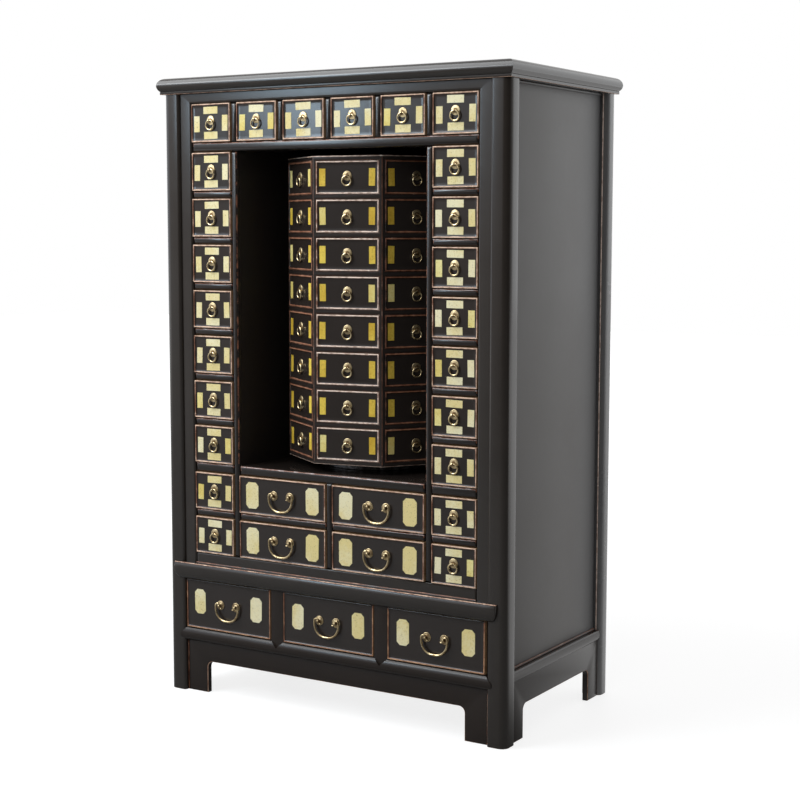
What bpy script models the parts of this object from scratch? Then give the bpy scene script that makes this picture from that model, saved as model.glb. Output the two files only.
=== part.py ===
"""Black-lacquer apothecary cabinet with a revolving eight-sided drawer tower.

Metres, +Z up, front towards -Y, origin in the middle of the footprint.
"""

import math

import bmesh
import bpy
from mathutils import Matrix, Vector

# Clearances
SEAT_GAP = 0.0003
SIDE_CLEAR = 0.0007
HEAD_CLEAR = 0.0012
SPINDLE_CLEAR = 0.0004

# Drawer grid of the front
SMALL_OPENING_W = 0.124
OPENING_H = 0.098
BAR = 0.019
NICHE_W = 0.555
NICHE_BOARD = 0.025
TOP_DRAWERS = 6
NICHE_ROWS = 7
WIDE_ROWS = 2
RACK_WALL = 0.011
RAIL_BACKSET = 0.002

# Face frame, posts and top
STILE_W = 0.0339
STILE_T = 0.020
HEAD_RAIL_H = 0.025
POST_W = 0.0515
POST_D = 0.049
POST_PROUD = 0.008
POST_ROUND = 0.020
POST_EASE = 0.008
TOP_OVERHANG = 0.012
TOP_T = 0.0375
TOP_LIP_T = 0.004
TOP_LIP_INSET = 0.007

# Base, from the floor up
ARCH_H = 0.084
APRON_H = 0.135
BASE_RAIL_H = 0.038
BASE_OPENING_H = 0.1305
WAIST_T = 0.044
SILL_H = 0.028
BASE_DRAWERS = 3
BASE_DIVIDER = 0.040
BASE_CHEEK = 0.005
BASE_PROUD = 0.006
BASE_RAIL_BOW = 0.014
BASE_RAIL_PROUD = 0.003
BASE_RAIL_LAP = 0.015
WAIST_PROUD = 0.010
WAIST_LAP = 0.0273
WAIST_EASE = 0.004
APRON_T = 0.015
APRON_BACKSET = 0.012
FRONT_SPANDREL = 0.0654
SIDE_SPANDREL = 0.0582
ARCH_ROUND = 0.016
SIDE_RAIL_LOW = 0.150
SIDE_RAIL_H = 0.026
SIDE_RAIL_BOW = 0.005
SIDE_APRON_BACKSET = 0.0082
SIDE_PANEL_BACKSET = 0.0192
SIDE_PANEL_T = 0.012
BACK_T = 0.012
BACK_RECESS = 0.018

# Revolving tower
SIDES = 8
TIERS = 8
TOWER_TURN = math.radians(10.1)
TOWER_SIDE_GAP = 0.0375
TOWER_FRONT_GAP = 0.008
TOWER_BACK_GAP = 0.053
TOWER_HEAD_GAP = 0.0159
TOWER_CAP = 0.0057
TOWER_RAIL = 0.0122
TOWER_STILE = 0.0076
TOWER_CORE_R = 0.076
TOWER_ROOF_T = 0.014
CAVITY_D = 0.112
CAVITY_BACK_GAP = 0.006
FRONT_PROUD = 0.0015
TURNTABLE_R = 0.150
TURNTABLE_T = 0.0103
SPINDLE_R = 0.012
SPINDLE_H = 0.008

# Drawers and their pulls
DRAWER_BACK_GAP = 0.091
FRONT_T = 0.016
SIDE_T = 0.009
FLOOR_T = 0.007
BEAD_W = 0.006
BEAD_H = 0.002
ROSETTE_R = 0.0115
ROSETTE_TIP_R = 0.0035
ROSETTE_H = 0.0110
PULL_STAND = 0.0070
RING_R = 0.0125
RING_WIRE_R = 0.0016
RING_HANG = 0.0135
RING_RISE = 0.0065
TOWER_RING_RISE = 0.004
BASE_BAIL_RISE = 0.005
BAIL_HALF_W = 0.0363
BAIL_DROP = 0.039
BAIL_PIN = 0.025
BAIL_WIRE_R = 0.0027
BAIL_FLARE = 0.10

# Facets of the rounded shapes
ROUND_STEPS = 4
ROUND_PROFILE = 0.5
BOW_STEPS = 8
TURNED_STEPS = 20
RING_STEPS = 8
RING_WIRE_SIDES = 3
ROSETTE_SIDES = 6
BAIL_STEPS = 6

# Places that follow from the sizes above
half_zone = NICHE_W / 2 + BAR + SMALL_OPENING_W
rack_half = half_zone + RACK_WALL
stile_in = half_zone
stile_out = stile_in + STILE_W
post_in = stile_out + SEAT_GAP
post_out = post_in + POST_W
top_half = post_out + TOP_OVERHANG

tower_r = NICHE_W / 2 - TOWER_SIDE_GAP
inner_d = TOWER_FRONT_GAP + 2 * tower_r + TOWER_BACK_GAP
post_span = POST_PROUD + inner_d + BACK_T + BACK_RECESS
post_front = -post_span / 2
post_back = post_span / 2
drawer_front = post_front + POST_PROUD
rail_front = drawer_front + RAIL_BACKSET
stile_back = drawer_front + STILE_T
base_front = drawer_front - BASE_PROUD
divider_front = base_front + RAIL_BACKSET
base_rail_front = post_front - BASE_RAIL_PROUD
apron_front = post_front + APRON_BACKSET
back_inner = drawer_front + inner_d
rack_back = back_inner - SEAT_GAP
side_low = post_front + POST_D + SEAT_GAP
side_high = post_back - POST_D - SEAT_GAP
tower_y = drawer_front + TOWER_FRONT_GAP + tower_r
drawer_d = inner_d - DRAWER_BACK_GAP

base_floor = APRON_H + BASE_RAIL_H
base_head = base_floor + BASE_OPENING_H
waist_top = base_head + WAIST_T
sill_top = waist_top + SILL_H
pitch = OPENING_H + BAR
wide_head = sill_top + WIDE_ROWS * pitch - BAR
niche_floor = wide_head + NICHE_BOARD
niche_head = niche_floor + NICHE_ROWS * pitch - BAR
top_row_floor = niche_head + NICHE_BOARD
top_row_head = top_row_floor + OPENING_H
lip_low = top_row_head + HEAD_RAIL_H
top_low = lip_low + TOP_LIP_T
top_high = top_low + TOP_T
side_rail_head = SIDE_RAIL_LOW + SIDE_RAIL_H
frame_head = lip_low - SEAT_GAP

tower_foot = niche_floor + 2 * TURNTABLE_T + 3 * SEAT_GAP
tower_head = niche_head - TOWER_HEAD_GAP
tier_pitch = (tower_head - tower_foot - 2 * TOWER_CAP) / TIERS
tier_opening = tier_pitch - TOWER_RAIL
half_angle = math.pi / SIDES
taper = math.tan(half_angle)
apothem = tower_r * math.cos(half_angle)
tower_opening = 2 * tower_r * math.sin(half_angle) - 2 * TOWER_STILE

HANDS = (("left", -1), ("right", 1))

for old in list(bpy.data.objects):
    bpy.data.objects.remove(old, do_unlink=True)
cabinet = bpy.data.collections.new("apothecary_cabinet")
cutters = bpy.data.collections.new("cutters")
bpy.context.scene.collection.children.link(cabinet)
bpy.context.scene.collection.children.link(cutters)


def finish(name, colour, roughness, metallic=0.0):
    made = bpy.data.materials.new(name)
    made.use_nodes = True
    shader = made.node_tree.nodes["Principled BSDF"]
    shader.inputs["Base Color"].default_value = (*colour, 1)
    shader.inputs["Roughness"].default_value = roughness
    shader.inputs["Metallic"].default_value = metallic
    return made


carcass_lacquer = finish("carcass_lacquer", (0.022, 0.020, 0.019), 0.35)
rack_lacquer = finish("rack_lacquer", (0.020, 0.018, 0.017), 0.45)
drawer_lacquer = finish("drawer_lacquer", (0.026, 0.024, 0.023), 0.40)
tower_lacquer = finish("tower_lacquer", (0.022, 0.020, 0.019), 0.40)
back_board = finish("back_board", (0.060, 0.040, 0.028), 0.60)
aged_brass = finish("aged_brass", (0.36, 0.24, 0.10), 0.38, 0.9)
dark_steel = finish("dark_steel", (0.18, 0.18, 0.19), 0.45, 0.8)


def add(name, shape, skin, group=cabinet, parent=None, place=(0, 0, 0)):
    data = bpy.data.meshes.new(name)
    shape.to_mesh(data)
    shape.free()
    data.materials.append(skin)
    made = bpy.data.objects.new(name, data)
    made.location = place
    made.parent = parent
    group.objects.link(made)
    return made


def helper(name, shape, skin=carcass_lacquer, **where):
    made = add(name, shape, skin, group=cutters, **where)
    made.hide_render = True
    made.display_type = "WIRE"
    return made


def combine(target, other, operation):
    change = target.modifiers.new(other.name, "BOOLEAN")
    change.operation = operation
    change.solver = "EXACT"
    change.material_mode = "TRANSFER"
    change.object = other


def baked(made):
    """The object's evaluated mesh as a welded shape; the object itself is removed."""
    bpy.context.view_layer.update()
    graph = bpy.context.evaluated_depsgraph_get()
    data = bpy.data.meshes.new_from_object(made.evaluated_get(graph))
    shape = bmesh.new()
    shape.from_mesh(data)
    shape.transform(made.matrix_world)
    bmesh.ops.remove_doubles(shape, verts=shape.verts, dist=1e-6)
    bpy.data.meshes.remove(data)
    bpy.data.objects.remove(made)
    return shape


def box(low, high, shape=None):
    shape = shape or bmesh.new()
    low, high = Vector(low), Vector(high)
    place = Matrix.Translation((low + high) / 2) @ Matrix.Diagonal((*(high - low), 1))
    bmesh.ops.create_cube(shape, size=1, matrix=place)
    return shape


def outline(loops, thickness, turn):
    """A flat outline in X and Y with holes, given a thickness and turned to its place."""
    curve = bpy.data.curves.new("outline", "CURVE")
    curve.dimensions = "2D"
    curve.fill_mode = "BOTH"
    curve.extrude = thickness / 2
    for loop in loops:
        line = curve.splines.new("POLY")
        line.points.add(len(loop) - 1)
        for point, (x, y) in zip(line.points, loop):
            point.co = (x, y, 0, 1)
        line.use_cyclic_u = True
    made = bpy.data.objects.new("outline", curve)
    cutters.objects.link(made)
    shape = baked(made)
    bmesh.ops.recalc_face_normals(shape, faces=shape.faces)
    shape.transform(turn)
    return shape


def across(loops, y_low, y_high):
    """Extrudes X-Z outlines from y_low to y_high."""
    turn = Matrix.Translation((0, (y_low + y_high) / 2, 0)) @ Matrix.Rotation(math.pi / 2, 4, "X")
    return outline(loops, y_high - y_low, turn)


def along(loops, x_low, x_high):
    """Extrudes Y-Z outlines from x_low to x_high."""
    swap = Matrix(((0, 0, 1, 0), (1, 0, 0, 0), (0, 1, 0, 0), (0, 0, 0, 1)))
    return outline(loops, x_high - x_low, Matrix.Translation(((x_low + x_high) / 2, 0, 0)) @ swap)


def arc(centre, radii, start, end, steps=ROUND_STEPS):
    turns = [math.radians(start + (end - start) * i / steps) for i in range(steps + 1)]
    return [(centre[0] + radii[0] * math.cos(t), centre[1] + radii[1] * math.sin(t)) for t in turns]


def spread(low, high, count, bar):
    """The open spans between count - 1 bars."""
    width = (high - low - (count - 1) * bar) / count
    return [(low + i * (width + bar), low + i * (width + bar) + width) for i in range(count)]


def comb(spans, low, floor, head, reach):
    """A board from low to floor, with uprights to head between the open spans."""
    loop = [(-reach, head), (-reach, low), (reach, low), (reach, head)]
    for left, right in reversed(spans):
        loop += [(right, head), (right, floor), (left, floor), (left, head)]
    return loop


def facing(shape, way):
    """The face that looks most towards a direction."""
    return max(shape.faces, key=lambda face: face.normal.dot(Vector(way)))


def press(shape, faces, inset, depth):
    """Insets faces, then moves the inner ones straight along their normals."""
    if inset:
        bmesh.ops.inset_individual(shape, faces=faces, thickness=inset, depth=0, use_even_offset=True)
    if depth:
        bmesh.ops.inset_individual(shape, faces=faces, thickness=0, depth=depth)


def rounded(shape, edges, radius):
    """Rounds edges to a quarter circle."""
    bmesh.ops.bevel(shape, geom=edges, offset=radius, segments=ROUND_STEPS,
                    profile=ROUND_PROFILE, affect="EDGES")


def row_floors():
    """Shelf heights of a side column's drawers, top row first."""
    beside_niche = [niche_floor + i * pitch for i in range(NICHE_ROWS)]
    beside_wide = [sill_top + i * pitch for i in range(WIDE_ROWS)]
    return sorted(beside_niche + beside_wide, reverse=True)


def base_spans():
    edge = stile_out - BASE_CHEEK
    return spread(-edge, edge, BASE_DRAWERS, BASE_DIVIDER)


def add_top():
    """Board with a half-round nose on all four edges, on a thin lip."""
    back = post_back + TOP_OVERHANG
    slab = box((-top_half, -back, top_low), (top_half, back, top_high))
    rim = [edge for edge in slab.edges if edge.verts[0].co.z == edge.verts[1].co.z]
    rounded(slab, rim, TOP_T / 2 - SEAT_GAP)
    top = add("top_panel", slab, carcass_lacquer)
    reach = top_half - TOP_LIP_INSET
    depth = back - TOP_LIP_INSET
    lip = box((-reach, -depth, lip_low), (reach, depth, top_low + TOP_LIP_T))
    combine(top, helper("top_lip", lip), "UNION")


def add_posts():
    """Corner posts with a broad round on the outer show corner and smaller eases beside it."""
    for row, way in (("front", -1), ("back", 1)):
        for hand, side in HANDS:
            xs = sorted((side * post_in, side * post_out))
            ys = sorted((way * post_back, way * (post_back - POST_D)))
            shape = box((xs[0], ys[0], 0), (xs[1], ys[1], frame_head))
            middle = Vector((sum(xs) / 2, sum(ys) / 2, 0))
            rounds = []
            for edge in shape.edges:
                a, b = (vert.co for vert in edge.verts)
                out = (a - middle) * side
                show = (a - middle) * way
                if a.z == b.z or out.x < 0 and show.y < 0:
                    continue
                rounds.append((edge, POST_ROUND if out.x > 0 and show.y > 0 else POST_EASE))
            for edge, radius in rounds:
                rounded(shape, [edge], radius)
            add(f"post_{row}_{hand}", shape, carcass_lacquer)


def add_panels():
    outer = post_out - SIDE_PANEL_BACKSET
    for hand, side in HANDS:
        xs = sorted((side * outer, side * (outer - SIDE_PANEL_T)))
        panel = box((xs[0], side_low, side_rail_head + SEAT_GAP), (xs[1], side_high, frame_head))
        add(f"side_panel_{hand}", panel, carcass_lacquer)
    back = box((-stile_out, back_inner, APRON_H), (stile_out, back_inner + BACK_T, frame_head))
    add("back_panel", back, back_board)


def add_face_frame():
    """Two stiles and a head rail round the drawers."""
    loop = comb([(-stile_in, stile_in)], -frame_head, -top_row_head, -waist_top - SEAT_GAP, stile_out)
    frame = across([[(x, -z) for x, z in loop]], drawer_front, stile_back)
    add("face_frame", frame, carcass_lacquer)


def add_racks():
    """Shelves and dividers of the drawers; their front edges are the bars between them."""
    loop = comb(spread(-half_zone, half_zone, TOP_DRAWERS, BAR), niche_head, top_row_floor,
                top_row_head - SEAT_GAP, rack_half)
    top_rack = add("top_row_rack", across([loop], rail_front, rack_back), rack_lacquer)
    foot, head = sill_top + SEAT_GAP, niche_head - SEAT_GAP
    wall_foot = waist_top + SEAT_GAP
    near, inner, outer = NICHE_W / 2, NICHE_W / 2 + BAR, half_zone
    rows = row_floors()
    low_shelf = rows[-1] + OPENING_H
    for hand, side in HANDS:
        ladder = [(near, foot), (near, head), (inner, head), (inner, rows[0])]
        ladder += [(outer, rows[0]), (outer, head)]
        ladder += [(rack_half, head), (rack_half, wall_foot), (outer, wall_foot), (outer, low_shelf)]
        ladder += [(inner, low_shelf), (inner, foot)]
        holes = [[(inner, z), (outer, z), (outer, z + OPENING_H), (inner, z + OPENING_H)] for z in rows[1:-1]]
        loops = [[(side * x, z) for x, z in loop] for loop in (ladder, *holes)]
        rack = add(f"{hand}_column_rack", across(loops, rail_front, rack_back), rack_lacquer)
        xs = sorted((side * (half_zone - SEAT_GAP), side * (rack_half + RACK_WALL)))
        rebate = box((xs[0], rail_front - RACK_WALL, waist_top), (xs[1], stile_back + SEAT_GAP, lip_low))
        notch = helper(f"stile_notch_{hand}", rebate)
        combine(rack, notch, "DIFFERENCE")
        combine(top_rack, notch, "DIFFERENCE")
    reach, mid = near - SEAT_GAP, BAR / 2
    shelf = sill_top + OPENING_H
    right = [(reach, niche_floor), (reach, wide_head), (mid, wide_head), (mid, shelf + BAR)]
    right += [(reach, shelf + BAR), (reach, shelf), (mid, shelf), (mid, foot)]
    loop = right + [(-x, z) for x, z in reversed(right)]
    add("lower_rack", across([loop], rail_front, rack_back), rack_lacquer)


def clear_posts(made, reach):
    """Cuts the room of the front posts from a piece, apart from what laps over their fronts."""
    for hand, side in HANDS:
        xs = sorted((side * stile_out, side * (reach + POST_W)))
        room = box((xs[0], post_front - SEAT_GAP, 0), (xs[1], post_back, sill_top))
        combine(made, helper(f"{made.name}_notch_{hand}", room), "DIFFERENCE")


def add_waist():
    """Sill board between the posts; its rolled nose laps over the fronts of the posts."""
    nose = post_front - WAIST_PROUD
    shoulder = waist_top - WAIST_EASE
    roll = arc((base_front, shoulder), (base_front - nose, WAIST_T - WAIST_EASE), 270, 180, BOW_STEPS)
    ease = arc((nose + WAIST_EASE, shoulder), (WAIST_EASE, WAIST_EASE), 180, 90)
    profile = [(rack_back, base_head), *roll[:-1], *ease, (rack_back, waist_top)]
    reach = post_in + WAIST_LAP
    waist = add("waist_board", along([profile], -reach, reach), carcass_lacquer)
    clear_posts(waist, reach)
    sill = half_zone - SEAT_GAP
    low = (-sill, rail_front, waist_top - WAIST_T / 2)
    step = helper("waist_step", box(low, (sill, rack_back - SEAT_GAP, sill_top)))
    combine(waist, step, "UNION")


def add_base():
    """Floor and dividers of the base drawers, on a half-round rail that laps over the fronts of the posts."""
    head = base_head - SEAT_GAP
    spans = base_spans()
    set_back = base_rail_front + BASE_RAIL_BOW
    anchor = set_back + BASE_RAIL_BOW
    middle = APRON_H + BASE_RAIL_H / 2
    loop = comb(spans, APRON_H, base_floor, head, stile_out)
    rack = add("base_rack", across([loop], set_back + SEAT_GAP, rack_back), rack_lacquer)
    faces = bmesh.new()
    for (_, low), (high, _) in zip(spans, spans[1:]):
        box((low, divider_front, middle), (high, anchor, head), faces)
    combine(rack, helper("base_divider_fronts", faces), "UNION")
    bow = arc((set_back, middle), (BASE_RAIL_BOW, BASE_RAIL_H / 2), 270, 90, BOW_STEPS)
    reach = post_in + BASE_RAIL_LAP
    profile = [*bow, (anchor, base_floor), (anchor, APRON_H)]
    rail = helper("base_rail", along([profile], -reach, reach))
    clear_posts(rail, reach)
    combine(rack, rail, "UNION")


def arched(low, high, head, spandrel):
    """An apron's outline: a board on two spandrel legs with a round-cornered arch between."""
    left, right = low + spandrel, high - spandrel
    crown, radii = ARCH_H - ARCH_ROUND, (ARCH_ROUND, ARCH_ROUND)
    loop = [(low, head), (low, 0), (left, 0)]
    loop += arc((left + ARCH_ROUND, crown), radii, 180, 90)
    loop += arc((right - ARCH_ROUND, crown), radii, 90, 0)
    return loop + [(right, 0), (high, 0), (high, head)]


def add_aprons():
    loop = arched(-stile_out, stile_out, APRON_H - SEAT_GAP, FRONT_SPANDREL)
    add("front_apron", across([loop], apron_front, apron_front + APRON_T), carcass_lacquer)
    outer = post_out - SIDE_APRON_BACKSET
    middle = SIDE_RAIL_LOW + SIDE_RAIL_H / 2
    for hand, side in HANDS:
        inner = side * (outer - APRON_T)
        loop = arched(side_low, side_high, middle, SIDE_SPANDREL)
        apron = add(f"side_apron_{hand}", along([loop], *sorted((side * outer, inner))), carcass_lacquer)
        bow = arc((side * outer, middle), (side * SIDE_RAIL_BOW, SIDE_RAIL_H / 2), -90, 90, BOW_STEPS)
        rail = across([[*bow, (inner, side_rail_head), (inner, SIDE_RAIL_LOW)]], side_low, side_high)
        combine(apron, helper(f"side_rail_{hand}", rail), "UNION")


def rosettes(centres):
    """Low cones on the plane Y = 0 with their feet sunk in the drawer front."""
    shape = bmesh.new()
    for x in centres:
        place = Matrix.Translation((x, (BEAD_H - ROSETTE_H) / 2, 0)) @ Matrix.Rotation(math.pi / 2, 4, "X")
        bmesh.ops.create_cone(shape, cap_ends=True, segments=ROSETTE_SIDES, radius1=ROSETTE_R,
                              radius2=ROSETTE_TIP_R,
                              depth=ROSETTE_H + BEAD_H, matrix=place)
    return shape


def ring_pull():
    """A rosette with a hanging ring, its eye at the origin."""
    spot = (0, -PULL_STAND, -RING_HANG)
    upright = (math.pi / 2, 0, 0)
    bpy.ops.mesh.primitive_torus_add(major_radius=RING_R, minor_radius=RING_WIRE_R, rotation=upright,
                                     major_segments=RING_STEPS, minor_segments=RING_WIRE_SIDES, location=spot)
    ring = helper("ring", baked(bpy.context.object), aged_brass)
    pull = helper("ring_pull", rosettes([0]), aged_brass)
    combine(pull, ring, "UNION")
    shape = baked(pull)
    bpy.data.objects.remove(ring)
    return shape


def bail_pull():
    """Two rosettes carrying a drooping bail, its pins at the height of the origin."""
    curve = bpy.data.curves.new("bail", "CURVE")
    curve.dimensions = "3D"
    curve.bevel_depth = BAIL_WIRE_R
    curve.bevel_resolution = 1
    curve.use_fill_caps = True
    droop = [math.pi * (1 + i / BAIL_STEPS) for i in range(BAIL_STEPS + 1)]
    path = [(-BAIL_PIN, 0)]
    for t in droop:
        path.append((BAIL_HALF_W * math.cos(t), BAIL_DROP * (math.sin(t) - BAIL_FLARE * abs(math.cos(t)))))
    path.append((BAIL_PIN, 0))
    line = curve.splines.new("POLY")
    line.points.add(len(path) - 1)
    for point, (x, z) in zip(line.points, path):
        point.co = (x, -PULL_STAND, z, 1)
    wire = bpy.data.objects.new("bail", curve)
    cutters.objects.link(wire)
    bail = helper("bail_wire", baked(wire), aged_brass)
    pull = helper("bail_pull", rosettes([-BAIL_PIN, BAIL_PIN]), aged_brass)
    combine(pull, bail, "UNION")
    shape = baked(pull)
    bpy.data.objects.remove(bail)
    return shape


def drawer_shape(width, height, depth, back_width):
    """Open-topped drawer with a raised bead round its front; origin at the foot of the front, mid-width."""
    shape = box((-width / 2, 0, 0), (width / 2, depth, height))
    for vert in shape.verts:
        if vert.co.y > 0:
            vert.co.x *= back_width / width
    shape.normal_update()
    front, head = facing(shape, (0, -1, 0)), facing(shape, (0, 0, 1))
    press(shape, [front], BEAD_W, -BEAD_H)
    press(shape, [head], SIDE_T, 0)
    for vert in head.verts:
        vert.co.y = max(vert.co.y, FRONT_T)
    press(shape, [head], 0, FLOOR_T - height)
    return shape


def add_drawer(name, opening, place, pull, rise, depth=drawer_d, slope=0.0, parent=None, skin=drawer_lacquer):
    """A drawer for an opening of a width and a height whose sill is at place."""
    width = opening[0] - 2 * SIDE_CLEAR
    height = opening[1] - SEAT_GAP - HEAD_CLEAR
    foot = Vector(place) + Vector((0, 0, SEAT_GAP))
    shape = drawer_shape(width, height, depth, width - 2 * depth * slope)
    drawer = add(name, shape, skin, parent=parent, place=foot)
    eye = foot + Vector((0, BEAD_H, height / 2 + rise))
    combine(drawer, helper(f"{name}_pull", pull.copy(), aged_brass, parent=parent, place=eye), "UNION")


def add_drawers():
    ring, bail = ring_pull(), bail_pull()
    for i, (low, high) in enumerate(spread(-half_zone, half_zone, TOP_DRAWERS, BAR)):
        place = ((low + high) / 2, drawer_front, top_row_floor)
        add_drawer(f"drawer_top_{i + 1}", (high - low, OPENING_H), place, ring, RING_RISE)
    column = half_zone - SMALL_OPENING_W / 2
    for hand, side in HANDS:
        for i, floor in enumerate(row_floors()):
            place = (side * column, drawer_front, floor)
            add_drawer(f"drawer_{hand}_{i + 1}", (SMALL_OPENING_W, OPENING_H), place, ring, RING_RISE)
    for row in range(WIDE_ROWS):
        floor = wide_head - OPENING_H - row * pitch
        for i, (low, high) in enumerate(spread(-NICHE_W / 2, NICHE_W / 2, 2, BAR)):
            place = ((low + high) / 2, drawer_front, floor)
            add_drawer(f"drawer_wide_{2 * row + i + 1}", (high - low, OPENING_H), place, bail, 0)
    for i, (low, high) in enumerate(base_spans()):
        place = ((low + high) / 2, base_front, base_floor)
        add_drawer(f"drawer_base_{i + 1}", (high - low, BASE_OPENING_H), place, bail, BASE_BAIL_RISE)


def add_turntable(axis):
    """A fixed disc with a spindle and a turning disc above it, both turned from profiles."""
    foot = niche_floor + SEAT_GAP
    head = foot + TURNTABLE_T
    tip = head + SPINDLE_H
    fixed = [(0, tip), (SPINDLE_R, tip), (SPINDLE_R, head)]
    fixed += [(TURNTABLE_R, head), (TURNTABLE_R, foot), (0, foot)]
    low, high = head + SEAT_GAP, head + SEAT_GAP + TURNTABLE_T
    bore = SPINDLE_R + SPINDLE_CLEAR
    turning = [(bore, high), (TURNTABLE_R, high), (TURNTABLE_R, low), (bore, low), (bore, high)]
    for name, profile in (("turntable_fixed", fixed), ("turntable_turning", turning)):
        shape = bmesh.new()
        verts = [shape.verts.new((r, 0, z)) for r, z in profile]
        for a, b in zip(verts, verts[1:]):
            shape.edges.new((a, b))
        bmesh.ops.remove_doubles(shape, verts=shape.verts, dist=1e-6)
        screw = add(name, shape, dark_steel, parent=axis).modifiers.new("turned", "SCREW")
        screw.steps = screw.render_steps = TURNED_STEPS
        screw.use_merge_vertices = True
        screw.merge_threshold = 1e-6


def narrow(face, each_side):
    """Moves a tower face's upright edges towards its middle."""
    middle = face.calc_center_median()
    level = Vector((0, 0, 1)).cross(face.normal).normalized()
    for vert in face.verts:
        vert.co -= level * math.copysign(each_side, (vert.co - middle).dot(level))


def tower_prism():
    """The tower's eight-sided body, scored round at every tier, and the faces of its tiers."""
    shape = bmesh.new()
    place = Matrix.Translation((0, 0, (tower_foot + tower_head) / 2)) @ Matrix.Rotation(half_angle, 4, "Z")
    bmesh.ops.create_cone(shape, cap_ends=True, segments=SIDES, radius1=tower_r, radius2=tower_r,
                          depth=tower_head - tower_foot, matrix=place)
    first, last = tower_foot + TOWER_CAP, tower_head - TOWER_CAP
    for i in range(TIERS + 1):
        everything = [*shape.verts, *shape.edges, *shape.faces]
        level = (0, 0, first + i * tier_pitch)
        bmesh.ops.bisect_plane(shape, geom=everything, plane_co=level, plane_no=(0, 0, 1))
    sides = [face for face in shape.faces if abs(face.normal.z) < 0.5]
    return shape, [face for face in sides if first < face.calc_center_median().z < last]


def hollows():
    """The empty shafts behind the tower's fixed fronts and the hollow round its axis, to cut from below."""
    low, high = tower_foot - TOWER_ROOF_T, tower_head - TOWER_ROOF_T
    wide = tower_opening / 2 - FRONT_T * taper
    deep = CAVITY_D - FRONT_T
    shape = bmesh.new()
    for i in range(1, SIDES):
        shaft = box((-wide, FRONT_T - apothem, low), (wide, CAVITY_D - apothem, high))
        for vert in shaft.verts:
            if vert.co.y > FRONT_T - apothem + deep / 2:
                vert.co.x *= 1 - deep * taper / wide
        gather(shape, shaft, Matrix.Rotation(2 * half_angle * i, 4, "Z"))
    core = Matrix.Translation((0, 0, (low + high) / 2)) @ Matrix.Rotation(half_angle, 4, "Z")
    bmesh.ops.create_cone(shape, cap_ends=True, segments=SIDES, radius1=TOWER_CORE_R, radius2=TOWER_CORE_R,
                          depth=high - low, matrix=core)
    return shape


def gather(shape, other, turn):
    """Adds another shape, turned, to a shape."""
    data = bpy.data.meshes.new("gathered")
    other.transform(turn)
    other.to_mesh(data)
    other.free()
    shape.from_mesh(data)
    bpy.data.meshes.remove(data)


def add_tower():
    axis = bpy.data.objects.new("tower_axis", None)
    axis.location = (0, tower_y, 0)
    axis.rotation_euler = (0, 0, TOWER_TURN)
    cabinet.objects.link(axis)
    add_turntable(axis)

    shape, faces = tower_prism()
    press(shape, faces, TOWER_RAIL / 2, 0)
    for face in faces:
        narrow(face, TOWER_STILE - TOWER_RAIL / 2)
    opened = [face for face in faces if face.normal.y < -math.cos(half_angle)]
    fixed = [face for face in faces if face not in opened]
    eyes = [(face.calc_center_median().z, math.atan2(face.normal.x, -face.normal.y)) for face in fixed]
    press(shape, fixed, 0, FRONT_PROUD)
    press(shape, fixed, BEAD_W, -BEAD_H)
    press(shape, opened, 0, -CAVITY_D)
    for face in opened:
        narrow(face, CAVITY_D * taper)
    case = add("tower_case", shape, tower_lacquer, parent=axis)
    combine(case, helper("tower_hollows", hollows(), parent=axis), "DIFFERENCE")
    ring, pulls = ring_pull(), bmesh.new()
    panel = apothem + FRONT_PROUD - BEAD_H
    for middle, turn in eyes:
        spot = Matrix.Translation((0, -panel, middle + TOWER_RING_RISE))
        gather(pulls, ring.copy(), Matrix.Rotation(turn, 4, "Z") @ spot)
    combine(case, helper("tower_pulls", pulls, aged_brass, parent=axis), "UNION")

    front, depth = -apothem - FRONT_PROUD, CAVITY_D + FRONT_PROUD - CAVITY_BACK_GAP
    for tier in range(TIERS):
        sill = tower_head - TOWER_CAP - (tier + 1) * tier_pitch + TOWER_RAIL / 2
        add_drawer(f"tower_drawer_{tier + 1}", (tower_opening, tier_opening), (0, front, sill), ring,
                   TOWER_RING_RISE, depth, taper, axis, tower_lacquer)


add_top()
add_posts()
add_panels()
add_face_frame()
add_racks()
add_waist()
add_base()
add_aprons()
add_drawers()
add_tower()
bpy.context.view_layer.update()
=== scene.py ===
import math
import random

import bmesh
import bpy
from mathutils import Matrix, Vector


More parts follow.
